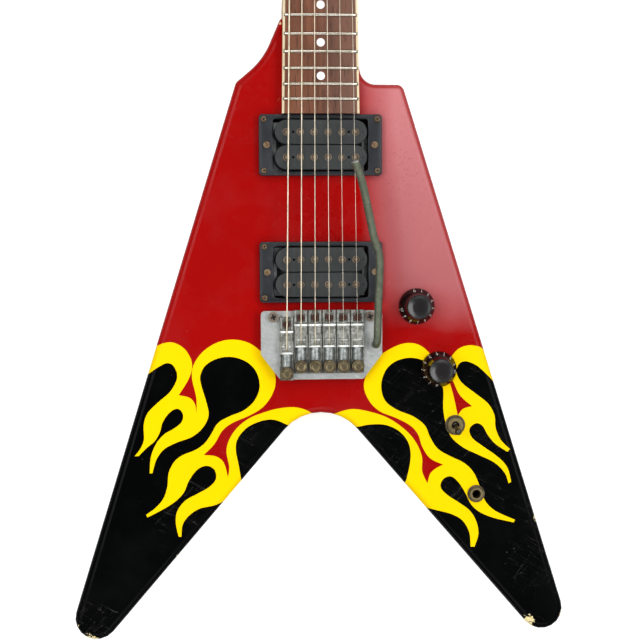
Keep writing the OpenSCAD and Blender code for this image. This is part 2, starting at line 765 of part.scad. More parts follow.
module output_jack() {
    color("silver") at(jack_at.x, jack_at.y, 0) difference() {
        union() {
            hole(0, 0, cavity_roof - 2, top + 2.6, jack_r);
            hole(0, 0, cavity_roof - 2, cavity_roof, 9);
            translate([-9, -3.5, cavity_roof - 26]) cube([1.2, 7, 25]);
            translate([-9, -3.5, cavity_roof - 26]) cube([10, 7, 1.2]);
        }
        hole(0, 0, cavity_roof - 4, top + 4, plug_r);
    }
}

module cover_holes(screws) {
    for (c = screws) hole(c.x, c.y, -1, 6, small_r + fit_gap);
}

module control_cover() {
    color("#181818") difference() {
        control_shape(cover_t, cover_lip - fit_gap);
        cover_holes(control_screws);
        for (c = control_screws) hole(c.x, c.y, -1, 1.4, small_head_r + fit_gap);
    }
}

module spring_cover() {
    y0 = spring_cover_y[0] + fit_gap;
    y1 = spring_cover_y[1] - fit_gap;
    color("#181818") difference() {
        translate([-41 + fit_gap, y0, 0]) cube([82 - 2 * fit_gap, y1 - y0, cover_t]);
        cover_holes(spring_screws);
        for (c = spring_screws) hole(c.x, c.y, -1, 1.4, small_head_r + fit_gap);
        // slots for changing strings
        for (s = strings) translate([s * string_pitch - 2.6, -4, -1]) cube([5.2, 14, 6]);
    }
}

/* ---- Tremolo ---- */

plate_z = top + plate_lift;
deck = plate_z + plate_t;
plate_front = pivot_y + 4.4;
plate_back = -24.6;
plate_w = 2 * (post_half + plate_side);
tail_half = 3 * string_pitch - 0.5;   // half the plate's width behind the saddles
socket_at = [post_half + 3.8, 1.1];
post_waist_r = 2.6;
module_w = string_pitch - 0.3;
string_deck = saddle_string_z - deck;
fine_y = -14.6;
fine_r = fine_d / 2;
block_z = 7;
spring_xs = [-16, 0, 16];
spring_r = 3.6;

module pivot_posts() {
    color("rosybrown") for (s = [-1, 1]) at(s * post_half, pivot_y, 0) difference() {
        union() {
            hole(0, 0, top - post_bushing_len, top + 0.2, post_bushing_r);
            hole(0, 0, top, deck + 2, post_waist_r);
            hole(0, 0, deck + 0.9, deck + 3.3, 3.8);
        }
        at(0, 0, deck + 3.3) cross_slot(4.6, 1.3);
    }
}

module trem_plate() {
    color("silver") difference() {
        union() {
            translate([0, 0, plate_z]) rounded_plate([
                [plate_w / 2, plate_front, 3], [-plate_w / 2, plate_front, 3], [-plate_w / 2, -6, 2],
                [-tail_half, plate_back, 3], [tail_half, plate_back, 3], [plate_w / 2, -6, 2]], plate_t);
            at(socket_at.x, socket_at.y, plate_z) cylinder(r = 5, h = plate_t + 3, $fn = fine);
        }
        hole(socket_at.x, socket_at.y, plate_z - 1, plate_z + 9, arm_d / 2 + run_gap);
        for (s = [-1, 1]) hole(s * post_half, pivot_y, plate_z - 1, deck + 1, post_waist_r + 0.5);
        for (i = [0:5]) hole(strings[i] * string_pitch, lock_y - saddle_back(i), plate_z - 1, deck + 1, 1.6);
    }
}

module trem_block() {
    color("gray") difference() {
        translate([-block_w / 2, block_y[0], block_z])
            cube([block_w, block_y[1] - block_y[0], plate_z - block_z]);
        // holes that the springs hook into
        for (x = spring_xs) rod([x, block_y[1] - 5, claw_z], [x, block_y[1] + 1, claw_z], 1.3);
        for (i = [0:5]) hole(strings[i] * string_pitch * 0.9, 4, block_z - 1, plate_z - 6, 2.2);
        // the saddles' lock screws run down in front of the block's top
        translate([-40, 11, plate_z - 5]) cube([80, 8, 6]);
    }
}

lock_y = 21.5;
module saddle(i) {
    w = module_w;
    h = string_deck - string_r[i] - run_gap;   // the crest carries the string
    difference() {
        union() {
            translate([-w / 2, -20, 0]) cube([w, 47, 2.6]);
            translate([-w / 2, 14, 0]) cube([w, 13, 3.4]);
            translate([-w / 2, 0, 0]) cube([w, 15.6, 4.2]);
            // cheeks on each side of the string
            for (s = [-1, 1]) translate([s > 0 ? w / 2 - 1.4 : -w / 2, -1, 0])
                cube([1.4, 9, string_deck + 0.6]);
            translate([-w / 2 + 1, -10, 0]) cube([w - 2, 12, string_deck - 1.6]);
            intersection() {
                translate([0, -10, string_deck - 3.8]) rotate([-90, 0, 0])
                    cylinder(r = w / 2 - 1, h = 9.4, $fn = fine);
                translate([-w / 2, -10, 0]) cube([w, 10, string_deck + 5]);
            }
            // crest that the string runs over
            translate([-w / 2 + 0.5, clamp_y - 0.5, 0]) cube([w - 1, 2, h - 0.0]);
        }
        hole(0, lock_y, -1, 8, 1.5 + fit_gap);
        hole(0, lock_y, 2.2, 8, 2.9);
        hole(0, fine_y, -1, 9, 1.5 + run_gap);
        // seat for the fine tuner's head
        translate([0, fine_y, 2.7]) cylinder(r = fine_r + seat_gap, h = 12, $fn = fine);
    }
}

module at_saddle(i) {
    translate([strings[i] * string_pitch, -saddle_back(i), deck]) children();
}

module saddles() {
    color("lightgray") for (i = [0:5]) at_saddle(i) saddle(i);
}

module saddle_screws() {
    color("rosybrown") for (i = [0:5]) at_saddle(i) difference() {
        union() {
            hole(0, lock_y, -plate_t + 0.2, 3, 1.5);
            hole(0, lock_y, 2.2, 4.6, 2.7);
        }
        at(0, lock_y, 4.6) cylinder(r = 1.4, h = 2.4, center = true, $fn = 6);
    }
}

module fine_tuner(i) {
    color("darkkhaki") at_saddle(i) translate([0, fine_y, 0]) union() {
        hole(0, 0, 0.3, 4, 1.5);
        hole(0, 0, 3, 8.6, fine_r);
        hole(0, 0, 8.6, 9.2, fine_r - 0.8);
    }
}

module spring_claw() {
    color("silver") difference() {
        union() {
            translate([-22, claw_y - 1.2, claw_z - 5]) cube([44, 1.2, 10]);
            for (x = spring_xs) translate([x - 2.5, claw_y - 6, claw_z + 3.8]) cube([5, 6, 1.2]);
        }
        for (s = [-1, 1]) rod([s * claw_x, claw_y - 9, claw_z], [s * claw_x, claw_y + 9, claw_z],
                              wood_screw_r + fit_gap);
    }
}

module trem_springs() {
    y0 = block_y[1] + 3;
    y1 = claw_y - 10;
    color("silver") for (x = spring_xs) union() {
        difference() {
            rod([x, y0, claw_z], [x, y1, claw_z], spring_r);
            rod([x, y0 + 1, claw_z], [x, y1 - 1, claw_z], spring_r - 1.1);
        }
        rod([x, block_y[1] - 4, claw_z], [x, y0 + 1, claw_z], 0.9);
        rod([x, y1 - 1, claw_z], [x, claw_y - 1.25, claw_z], 0.9);
    }
}

// The arm's middle line above the body's face, from its foot up and over the pickups
arm_shape = [[0, 0, 11], [0, 0.3, 15.5], [0.1, 2.3, 19], [0.3, 6.9, 21], [0.7, 31.9, 24.2],
             [1.3, 54.9, 27.6], [0.6, 66.9, 29.6], [-3.4, 78.9, 32.4], [-8.1, 98.9, 38],
             [-13.3, 118.9, 44], [-18.8, 132.9, 48]];
arm_foot = [socket_at.x, socket_at.y, 6.2];
arm_path = [for (p = arm_shape) p + [socket_at.x, socket_at.y, 0]];
// A smooth curve through the points, as three cubic steps for each gap
function curve(q, steps) = [for (k = [0:len(q) - 2], j = [0:steps - 1])
    let (t = j / steps, a = q[max(k - 1, 0)], b = q[k], c = q[k + 1], d = q[min(k + 2, len(q) - 1)])
    0.5 * (2 * b + (c - a) * t + (2 * a - 5 * b + 4 * c - d) * t * t
           + (3 * b - a - 3 * c + d) * t * t * t), q[len(q) - 1]];
// A round tube along points that never run straight along X
module tube(points, r, sides) {
    last = len(points) - 1;
    rings = [for (k = [0:last]) let (
        t = unit(points[min(k + 1, last)] - points[max(k - 1, 0)]),
        u = unit([1, 0, 0] - t.x * t), w = cross(t, u))
        each [for (j = [0:sides - 1]) let (a = 360 * j / sides) points[k] + r * (cos(a) * u + sin(a) * w)]];
    polyhedron(rings, [
        [for (j = [0:sides - 1]) j],
        for (k = [0:last - 1], j = [0:sides - 1])
            [k * sides + j, (k + 1) * sides + j, (k + 1) * sides + (j + 1) % sides,
             k * sides + (j + 1) % sides],
        [for (j = [sides - 1:-1:0]) last * sides + j]]);
}
module trem_arm() {
    color("darkolivegreen") translate([0, 0, top]) union() {
        rod(arm_foot, arm_path[0] + [0, 0, 1], arm_d / 2);
        tube(curve(arm_path, 3), arm_d / 2, 20);
    }
}

/* ---- Assembly ---- */

body();
neck();
fingerboard();
fingerboard_binding();
frets();
inlay_dots();
nut();
truss_rod();
truss_rod_cover();
tuner_housings();
tuner_bushings();
for (i = [0:5]) {
    tuner_button(i);
    tuner_post(i);
    fine_tuner(i);
}
strings_set();  // strings
wood_screws();
neck_ferrules();
strap_button();
small_screws();
pickup_rings();
pickup_baseplates();
pickup_magnets();
pickup_bobbins();
pole_screws();
height_screws();
pots();
pot_shaft(volume_at);  // volume_shaft
pot_shaft(tone_at);  // tone_shaft
knob(volume_at);  // volume_knob
knob(tone_at);  // tone_knob
panel_nuts();
tone_capacitor();
switch_body();
toggle_lever();
output_jack();
control_cover();
spring_cover();
pivot_posts();
trem_plate();
trem_block();
saddles();
saddle_screws();
spring_claw();
trem_springs();
trem_arm();
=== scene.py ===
import math

import bmesh
import bpy
import numpy as np
from mathutils import Matrix, Vector
from mathutils.geometry import delaunay_2d_cdt


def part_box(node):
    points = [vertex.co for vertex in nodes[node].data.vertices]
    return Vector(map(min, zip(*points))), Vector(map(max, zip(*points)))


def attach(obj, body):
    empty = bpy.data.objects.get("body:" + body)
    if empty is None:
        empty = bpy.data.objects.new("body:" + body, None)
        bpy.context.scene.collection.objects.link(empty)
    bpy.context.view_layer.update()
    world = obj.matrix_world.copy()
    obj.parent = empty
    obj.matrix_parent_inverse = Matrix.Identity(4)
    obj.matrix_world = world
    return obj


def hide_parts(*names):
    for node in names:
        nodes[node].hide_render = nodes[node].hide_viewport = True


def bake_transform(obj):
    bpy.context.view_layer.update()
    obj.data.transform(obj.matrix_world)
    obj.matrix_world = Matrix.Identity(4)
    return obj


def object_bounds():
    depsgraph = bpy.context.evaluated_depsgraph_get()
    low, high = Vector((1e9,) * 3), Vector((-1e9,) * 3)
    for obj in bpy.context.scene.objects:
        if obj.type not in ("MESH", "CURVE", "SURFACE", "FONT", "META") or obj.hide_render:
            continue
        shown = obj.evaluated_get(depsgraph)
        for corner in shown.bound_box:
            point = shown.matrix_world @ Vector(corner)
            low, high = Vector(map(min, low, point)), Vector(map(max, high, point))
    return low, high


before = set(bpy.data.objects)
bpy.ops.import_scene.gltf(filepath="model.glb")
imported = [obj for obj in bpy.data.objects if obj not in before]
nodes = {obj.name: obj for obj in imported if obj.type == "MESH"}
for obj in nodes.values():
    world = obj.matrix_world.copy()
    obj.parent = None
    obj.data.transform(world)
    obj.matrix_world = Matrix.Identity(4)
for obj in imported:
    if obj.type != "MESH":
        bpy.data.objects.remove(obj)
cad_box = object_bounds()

MM = 0.001
scene = bpy.context.scene
scene.view_settings.view_transform = "Standard"


# ---- Studio: the guitar lies face up on a pale floor and the camera looks down on it ----
# The lens hangs about a metre over the bridge, a little to the bass side and up the neck. Soft
# lamps hang higher and well out on all four sides, which keeps the flat black paint dark.

def aim(thing, place, target, roll=0.0):
    away = (Vector(place) - Vector(target)).normalized()
    right = Vector((0, 1, 0)).cross(away).normalized()
    up = away.cross(right)
    turned = right * math.cos(roll) + up * math.sin(roll)
    up = up * math.cos(roll) - right * math.sin(roll)
    thing.matrix_world = Matrix.Translation(place) @ Matrix((turned, up, away)).transposed().to_4x4()


lens = bpy.data.cameras.new("camera")
lens.sensor_width = 36
lens.lens = 79.74
camera = bpy.data.objects.new("camera", lens)
scene.collection.objects.link(camera)
aim(camera, (-0.0802, 0.0766, 1.0913), (-0.001, 0.0192, 0.044), roll=-0.00425)
scene.camera = camera


def soft_lamp(name, place, target, size, watts):
    light = bpy.data.lights.new(name, "AREA")
    light.shape = "RECTANGLE"
    light.size, light.size_y = size
    light.energy = watts
    lamp = bpy.data.objects.new(name, light)
    scene.collection.objects.link(lamp)
    aim(lamp, place, target)


soft_lamp("bass_side_lamp", (-1.15, 0.2, 1.75), (0, 0, 0), (0.8, 1.8), 23)
soft_lamp("treble_side_lamp", (1.3, 0.3, 1.75), (0.05, 0, 0), (0.8, 1.8), 23)
soft_lamp("tail_lamp", (0.1, -1.6, 1.6), (0, 0, 0), (2.0, 0.7), 15)
soft_lamp("neck_lamp", (0.2, 1.7, 1.7), (0, 0.3, 0), (1.8, 0.7), 17)


# Shader sums are written on sockets: each operator adds one Math node.
class Shade:
    def __init__(self, tree, socket=None):
        self.tree, self.socket = tree, socket

    def node(self, kind, out=0, settings=None, **feeds):
        """Adds a node. settings go first, then values or links for its inputs, by name or as i0, i1."""
        made = self.tree.nodes.new("ShaderNode" + kind)
        for key, value in (settings or {}).items():
            setattr(made, key, value)
        for key, value in feeds.items():
            socket = made.inputs[int(key[1:])] if key[1:].isdigit() else made.inputs[key.replace("_", " ")]
            self.put(socket, value)
        return Shade(self.tree, made.outputs[out])

    def put(self, socket, value):
        if isinstance(value, Shade):
            self.tree.links.new(value.socket, socket)
        elif isinstance(value, tuple) and len(value) == 3 and socket.type == "RGBA":
            socket.default_value = (*value, 1)
        else:
            socket.default_value = value

    def maths(self, kind, a, b=0.0):
        return self.node("Math", settings={"operation": kind}, i0=a, i1=b)

    def __add__(self, other):
        return self.maths("ADD", self, other)

    def __radd__(self, other):
        return self.maths("ADD", other, self)

    def __sub__(self, other):
        return self.maths("SUBTRACT", self, other)

    def __rsub__(self, other):
        return self.maths("SUBTRACT", other, self)

    def __mul__(self, other):
        return self.maths("MULTIPLY", self, other)

    def __rmul__(self, other):
        return self.maths("MULTIPLY", other, self)


world = bpy.data.worlds.new("studio")
scene.world = world
world.use_nodes = True
world.node_tree.nodes.remove(world.node_tree.nodes["Background"])
sky = Shade(world.node_tree)
seen = sky.node("Background", Color=(1, 1, 1))
lit = sky.node("Background", Color=(0.97, 0.98, 1.0), Strength=0.40)
mirrored = sky.node("Background", Color=(0.8, 0.8, 0.8), Strength=0.26)
lit_or_mirrored = sky.node("MixShader", Fac=sky.node("LightPath", out="Is Glossy Ray"), i1=lit, i2=mirrored)
either = sky.node("MixShader", Fac=sky.node("LightPath", out="Is Camera Ray"), i1=lit_or_mirrored, i2=seen)
sky.put(world.node_tree.nodes["World Output"].inputs["Surface"], either)

# the floor is eight metres square and lies just under the guitar
FLOOR_HALF = 4
floor_mesh = bpy.data.meshes.new("floor")
floor_mesh.from_pydata([(x * FLOOR_HALF, y * FLOOR_HALF, 0) for x, y in ((-1, -1), (1, -1), (1, 1), (-1, 1))],
                       [], [(0, 1, 2, 3)])
floor = bpy.data.objects.new("floor", floor_mesh)
floor.location = (0, 0.25, cad_box[0][2] - 0.4 * MM)
scene.collection.objects.link(floor)


def finish(name, **fixed):
    """A new material: its shader, the place on the object and a way to add nodes."""
    material = bpy.data.materials.new(name)
    material.use_nodes = True
    shader = material.node_tree.nodes["Principled BSDF"]
    root = Shade(material.node_tree)
    for key, value in fixed.items():
        root.put(shader.inputs[key.replace("_", " ")], value)
    return material, root, shader, root.node("TexCoord", out="Object")


def noise(root, place, scale, detail=3.0, roughness=0.55, stretch=None):
    if stretch:
        place = root.node("Mapping", Vector=place, Scale=stretch)
    return root.node("TexNoise", Vector=place, Scale=scale, Detail=detail, Roughness=roughness)


def step(root, value, low, high):
    """0 below low, 1 above high, even between."""
    return root.node("MapRange", Value=value, From_Min=low, From_Max=high)


def blend_colour(root, amount, a, b):
    return root.node("MixRGB", Fac=amount, Color1=a, Color2=b)


floor_paint, root, shader, place = finish("floor_paint", Roughness=0.9)
root.put(shader.inputs["Base Color"],
         blend_colour(root, noise(root, place, 3.0), (0.58, 0.58, 0.58), (0.62, 0.62, 0.62)))
shown = root.node("Emission", Color=(1, 1, 1), Strength=0.62)
both = root.node("AddShader", i0=Shade(root.tree, shader.outputs[0]), i1=shown)
choose = root.node("MixShader", Fac=root.node("LightPath", out="Is Camera Ray"),
                   i1=Shade(root.tree, shader.outputs[0]), i2=both)
root.put(floor_paint.node_tree.nodes["Material Output"].inputs["Surface"], choose)
floor.data.materials.append(floor_paint)


# ---- Body: one slab of wood, routed from both faces and painted ----
# Red over the upper body, black wings, and flames drawn in yellow with black inside them. The
# edge is rounded all round, and the paint is chipped through to its pale primer at the wing tips.

SCALE = 648.0
BUTT = SCALE * 2 ** (-22 / 12) - 10.6
BODY_T = (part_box("body")[1].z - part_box("body")[0].z) / MM
EDGE = 5.0
SHOULDER = BUTT + 22.5


def neck_half(y):
    return 21.5 + 7.0 * (SCALE - y) / (SCALE - BUTT)


def rounded(corners, steps):
    """Points [x, y, outward x, outward y] of an anticlockwise outline with its corners rounded."""
    points = []
    for k, (x, y, r) in enumerate(corners):
        b = np.array((x, y))
        a = np.array(corners[k - 1][:2])
        c = np.array(corners[(k + 1) % len(corners)][:2])
        u, w = (a - b) / np.linalg.norm(a - b), (c - b) / np.linalg.norm(c - b)
        half = math.acos(u @ w) / 2
        middle = b + (u + w) / np.linalg.norm(u + w) * r / math.sin(half)
        start = b + u * r / math.tan(half) - middle
        first = math.atan2(start[1], start[0])
        bend = 1 if (b - a)[0] * (c - b)[1] - (b - a)[1] * (c - b)[0] > 0 else -1
        for i in range(steps + 1):
            t = first + bend * (math.pi - 2 * half) * i / steps
            out = np.array((math.cos(t), math.sin(t)))
            points.append((*(middle + r * out), *(bend * out)))
    return np.array(points)


outline = rounded([
    (206.7, -272, 16), (62, SHOULDER, EDGE + 1), (neck_half(SHOULDER) + 3.5, SHOULDER, 12),
    (neck_half(SHOULDER + 19) + 0.6, SHOULDER + 19, EDGE + 1),
    (-neck_half(SHOULDER + 52) + 0.2, SHOULDER + 52, EDGE + 1),
    (-neck_half(SHOULDER + 52) - 14.5, SHOULDER + 18, 55), (-62, SHOULDER + 1, EDGE + 1),
    (-206.7, -272, 16), (0, -31.5, 36)], 8)

# Flame lines in millimetres: smooth strokes that meet at the points of the flames.
FAR = 300
BASS_RED_LINE = [
    [(-121, 1), (-116, 3), (-109, 3), (-101, -2), (-96, -12), (-98, -23), (-106, -36)],
    [(-106, -36), (-98, -38), (-94, -43), (-93, -50)],
    [(-93, -50), (-93, -38), (-96, -24), (-95, -14), (-88, -4), (-77, 3), (-65, 5), (-53, 2), (-43, -6),
     (-36, -16), (-34, -27), (-37, -37), (-44, -46), (-54, -52), (-66, -57), (-74, -63), (-80, -73),
     (-88, -81)],
    [(-88, -81), (-79, -82), (-73, -87), (-70, -98)],
    [(-70, -98), (-69, -90), (-71, -79), (-69, -70), (-63, -61), (-54, -54), (-44, -50), (-33, -47),
     (-21, -46), (-12, -48), (-5, -52)]]
BASS_BLACK_LINE = [
    [(-128, -20), (-121, -15), (-114, -12), (-109, -15), (-107, -23), (-112, -33), (-121, -41),
     (-129, -49), (-132, -58), (-132, -69), (-135, -76), (-139, -81)],
    [(-139, -81), (-136, -81)],
    [(-136, -81), (-130, -75), (-124, -70), (-120, -63), (-118, -56), (-113, -49), (-107, -46),
     (-103, -50), (-104, -56), (-110, -61), (-117, -65), (-123, -72), (-127, -82), (-128, -94)],
    [(-128, -94), (-126, -94)],
    [(-126, -94), (-123, -84), (-117, -76), (-107, -71), (-96, -67), (-88, -60), (-84, -51), (-86, -40),
     (-89, -30), (-90, -22), (-86, -14), (-77, -9), (-66, -8), (-55, -12), (-48, -20), (-46, -31),
     (-50, -41), (-58, -48), (-68, -52), (-77, -57), (-82, -65), (-87, -72), (-94, -77), (-104, -81),
     (-110, -86), (-114, -94), (-115, -104), (-118, -113), (-124, -120), (-131, -125)],
    [(-131, -125), (-130, -127)],
    [(-130, -127), (-120, -122), (-110, -116), (-103, -109), (-99, -100), (-93, -92), (-86, -89),
     (-80, -92), (-79, -99), (-84, -105), (-93, -110), (-102, -115), (-108, -123), (-109, -132),
     (-107, -142)],
    [(-107, -142), (-105, -142)],
    [(-105, -142), (-104, -133), (-99, -126), (-91, -121), (-81, -119), (-72, -116)]]
BASS_POCKET = [[(-23, -61), (-30, -57), (-38, -55), (-48, -57), (-57, -62), (-63, -70), (-64, -78),
                (-62, -89), (-60, -101)]]
TREBLE_RED_LINE = [
    [(9, -52), (17, -49), (25, -48), (36, -50), (48, -54), (58, -60), (67, -68), (73, -77), (76, -86),
     (76, -96), (80, -105)],
    [(80, -105), (82, -98), (86, -94), (92, -91)],
    [(92, -91), (82, -86), (76, -77), (73, -68), (67, -61), (56, -55), (44, -50), (36, -42), (32, -31),
     (35, -20), (42, -10), (52, -3), (63, 1), (73, 0), (81, -6), (89, -17), (96, -27), (100, -40),
     (103, -54)],
    [(103, -54), (107, -49), (114, -47)],
    [(114, -47), (105, -39), (100, -29), (97, -20), (97, -12), (103, -4), (111, -1), (119, -2),
     (124, -5)]]
TREBLE_BLACK_LINE = [
    [(131, -29), (124, -22), (117, -16), (109, -13), (104, -15), (102, -21), (106, -29), (116, -37),
     (126, -45), (131, -54), (132, -64), (136, -73), (143, -80)],
    [(143, -80), (141, -82)],
    [(141, -82), (132, -76), (126, -69), (122, -62), (117, -60), (112, -64), (114, -71), (123, -78),
     (134, -86), (141, -94), (144, -105)],
    [(144, -105), (142, -106)],
    [(142, -106), (139, -98), (131, -90), (119, -84), (107, -78), (98, -70), (94, -60), (92, -48),
     (92, -34), (88, -22), (82, -15), (74, -11), (65, -10), (55, -13), (48, -20), (45, -31), (48, -42),
     (57, -49), (69, -54), (78, -61), (82, -70), (88, -79), (98, -85), (108, -90), (115, -97),
     (120, -108), (124, -119), (132, -127), (147, -134)],
    [(147, -134), (146, -136)],
    [(146, -136), (130, -132), (119, -127), (113, -121), (109, -113), (104, -105), (98, -100),
     (92, -102), (90, -108), (95, -114), (104, -120), (112, -126), (117, -134), (119, -144),
     (116, -154)],
    [(116, -154), (113, -154)],
    [(113, -154), (112, -143), (107, -134), (99, -129), (89, -126), (80, -124)]]
TREBLE_POCKET = [[(26, -62), (35, -60), (47, -60), (57, -64), (64, -71), (67, -79), (67, -88),
                  (65, -98), (63, -106)]]


def stroke(points, steps=4):
    """A smooth line through given points."""
    q = [np.array(p, float) for p in points]
    line = []
    for k in range(len(q) - 1):
        a, b, c, d = q[max(k - 1, 0)], q[k], q[k + 1], q[min(k + 2, len(q) - 1)]
        for j in range(steps):
            t = j / steps
            line.append(0.5 * (2 * b + (c - a) * t + (2 * a - 5 * b + 4 * c - d) * t * t
                               + (3 * b - a - 3 * c + d) * t ** 3))
    return line


def field(strokes, start, closing):
    """A closed field of paint: start, the strokes, then the way round outside the body."""
    line = [np.array(p, float) for p in start]
    for part in strokes:
        line += stroke(part)
    line.append(np.array(strokes[-1][-1], float))
    return np.array(line + [np.array(p, float) for p in closing])


flame_fields = [
    field(BASS_RED_LINE, [(-FAR, 0)], [(-3, -62), (0, -FAR), (-FAR, -FAR)]),
    field(TREBLE_RED_LINE, [(FAR, -FAR), (0.5, -FAR), (5, -62)], [(132, -9), (FAR, -50)])]
black_fields = [
    field(BASS_BLACK_LINE, [(-FAR, -60), (-135, -24)], [(-62, -112), (0, -FAR), (-FAR, -FAR)]),
    field(TREBLE_BLACK_LINE, [(FAR, -60), (138, -34)], [(68, -120), (0.5, -FAR), (FAR, -FAR)]),
    field(BASS_POCKET, [(-14, -67)], [(-50, -108)]),
    field(TREBLE_POCKET, [(16, -68)], [(54, -112)])]


def inside(points, polygon):
    """Which of the points lie in the polygon."""
    x, y = points[:, 0][:, None], points[:, 1][:, None]
    ax, ay = polygon[:, 0], polygon[:, 1]
    bx, by = np.roll(ax, -1), np.roll(ay, -1)
    crosses = ((ay > y) != (by > y)) & (x < (bx - ax) * (y - ay) / np.where(by == ay, 1e-9, by - ay) + ax)
    return crosses.sum(1) % 2 == 1


# slots of the skin's materials; a fourth, for bare wood, comes in with the routing
RED, YELLOW, BLACK = range(3)


def paint_at(points):
    points = np.array(points)[:, :2]
    flames = np.any([inside(points, f) for f in flame_fields], axis=0)
    black = np.any([inside(points, f) for f in black_fields], axis=0)
    return np.where(flames, np.where(black, BLACK, YELLOW), RED)


def edge_distance(points):
    a, b = outline[:, :2], np.roll(outline[:, :2], -1, axis=0)
    p = points[:, None, :2] - a
    along = np.clip((p * (b - a)).sum(2) / ((b - a) ** 2).sum(1), 0, 1)
    return np.sqrt(((p - along[..., None] * (b - a)) ** 2).sum(2)).min(1)


bends = [math.radians(22.5 * k) for k in range(5)]
ring_in = [EDGE * (1 - math.sin(a)) for a in bends]
ring_drop = [EDGE * (1 - math.cos(a)) for a in bends]


def painted_skin(shrink):
    """The outside of the painted slab, with its colours as material slots."""
    loops = [outline[:, :2] - (d + shrink) * outline[:, 2:] for d in ring_in]
    loops.insert(0, outline[:, :2] - (EDGE + 1.2) * outline[:, 2:])
    plan, edges = [], []
    for loop in loops + flame_fields + black_fields:
        first = len(plan)
        plan += [Vector(p) for p in loop]
        edges += [(first + k, first + (k + 1) % len(loop)) for k in range(len(loop))]
    verts, _, faces, *_ = delaunay_2d_cdt(plan, edges, [], 0, 1e-4)
    verts = np.array([tuple(v) for v in verts])
    middles = np.array([verts[list(f)].mean(0) for f in faces])
    kept = [tuple(f) for f, ok in zip(faces, inside(middles, loops[-1])) if ok]
    middles = np.array([verts[list(f)].mean(0) for f in kept])
    drop = np.interp(edge_distance(verts) - shrink, ring_in[::-1], ring_drop[::-1])
    colours = list(paint_at(middles))
    top = [(x, y, BODY_T - shrink - d) for (x, y), d in zip(verts, drop)]
    low = [(x, y, shrink + d) for (x, y), d in zip(verts, drop)]
    n = len(top)
    used = {}
    for f in kept:
        for a, b in zip(f, f[1:] + f[:1]):
            used[(a, b)] = used.get((a, b), 0) + 1
    rim = [(a, b) for a, b in used if (b, a) not in used]
    walls = [(b, a, a + n, b + n) for a, b in rim]
    wall_paint = list(paint_at([(verts[a] + verts[b]) / 2 for a, b in rim]))
    back = [tuple(k + n for k in reversed(f)) for f in kept]
    back_paint = [RED if c == RED else BLACK for c in colours]
    mesh = bpy.data.meshes.new("painted_body")
    mesh.from_pydata([(x * MM, y * MM, z * MM) for x, y, z in top + low], [], kept + walls + back)
    mesh.polygons.foreach_set("material_index", colours + wall_paint + back_paint)
    mesh.validate()
    return mesh


def bumped(root, shader, height, strength, reach):
    root.put(shader.inputs["Normal"], root.node("Bump", Strength=strength, Distance=reach, Height=height))


def spot(root, place, centre, radius):
    """1 at a place on the object, given in millimetres, falling to 0 at the radius."""
    apart = root.node("VectorMath", out="Value", settings={"operation": "DISTANCE"},
                      i0=place, i1=tuple(c * MM for c in centre))
    return root.node("MapRange", Value=apart, From_Min=0.0, From_Max=radius * MM, To_Min=1.0, To_Max=0.0)


# where the paint has gone: the middle of each chipped stretch, its radius and how much is lost
CHIPPED = [((186, -211, 34), 13, 0.62), ((158, -212, 38), 12, 0.55), ((172, -220, 34), 9, 0.5),
           ((165, -133, 38), 7, 0.62), ((170, -150, 37), 6, 0.5), ((-172, -218, 37), 12, 0.52),
           ((-183, -207, 36), 7, 0.45), ((-108, -157, 38), 4, 0.5), ((-28, 238, 37), 5, 0.55),
           ((-30, 182, 39), 3, 0.45), ((-118, -38, 40), 3, 0.0), ((60, 192, 36), 5, 0.4)]


def chips(root, place):
    """How far the paint is chipped away, from 0 to 1."""
    lost = 0.0
    rough_edge = noise(root, place, 330.0, 4.0, 0.65)
    for centre, radius, amount in CHIPPED:
        lost = root.maths("MAXIMUM", spot(root, place, centre, radius) * amount, lost)
    return step(root, lost + rough_edge, 0.86, 0.90)


def specks(root, place, scale, rare):
    dots = root.node("TexVoronoi", Vector=place, Scale=scale, Randomness=1.0)
    return step(root, dots, rare, rare * 0.5)


def scratches(root, place, scale, turn, rare):
    """Fine hairlines that run one way and come and go."""
    turned = root.node("Mapping", Vector=place, Rotation=(0, 0, turn))
    lines = noise(root, turned, scale, 2.0, 0.5, stretch=(0.06, 1.0, 0.06))
    breaks = noise(root, place, 14.0, 2.0)
    thin = step(root, root.maths("ABSOLUTE", lines - 0.5), 0.0022, 0.0004)
    return thin * step(root, breaks, rare, rare + 0.06)


def paint(name, colour, worn, gloss, hairlines, shine):
    material, root, shader, place = finish(name, Specular_IOR_Level=shine, IOR=1.47)
    cloudy = noise(root, place, 9.0, 4.0, 0.6)
    fine = noise(root, place, 160.0, 3.0)
    marks = root.maths("MAXIMUM", scratches(root, place, 260.0, 0.5, 0.52),
                       scratches(root, place, 230.0, -0.8, 0.55)) * hairlines
    gone = chips(root, place)
    dust = specks(root, place, 55.0, 0.035)
    tone = blend_colour(root, step(root, cloudy, 0.3, 0.75), colour, worn)
    tone = blend_colour(root, root.maths("MAXIMUM", marks * 0.6, dust * 0.2), tone, (0.22, 0.21, 0.19))
    primer = blend_colour(root, noise(root, place, 220.0), (0.72, 0.66, 0.48), (0.80, 0.62, 0.20))
    root.put(shader.inputs["Base Color"], blend_colour(root, gone, tone, primer))
    rubbed = step(root, noise(root, place, 24.0, 5.0), 0.48, 0.72)
    root.put(shader.inputs["Roughness"], gloss + 0.16 * rubbed + 0.18 * fine * rubbed + 0.4 * gone)
    orange_peel = noise(root, place, 420.0, 2.0) * 0.12 + noise(root, place, 60.0, 2.0) * 0.3
    bumped(root, shader, orange_peel - gone * 1.4 - marks * 0.3, 0.25, 0.0004)
    return material, root, shader, place


red_paint, root, shader, place = paint("red_paint", (0.31, 0.0006, 0.0003), (0.26, 0.0006, 0.0003),
                                       0.26, 0.18, 0.12)
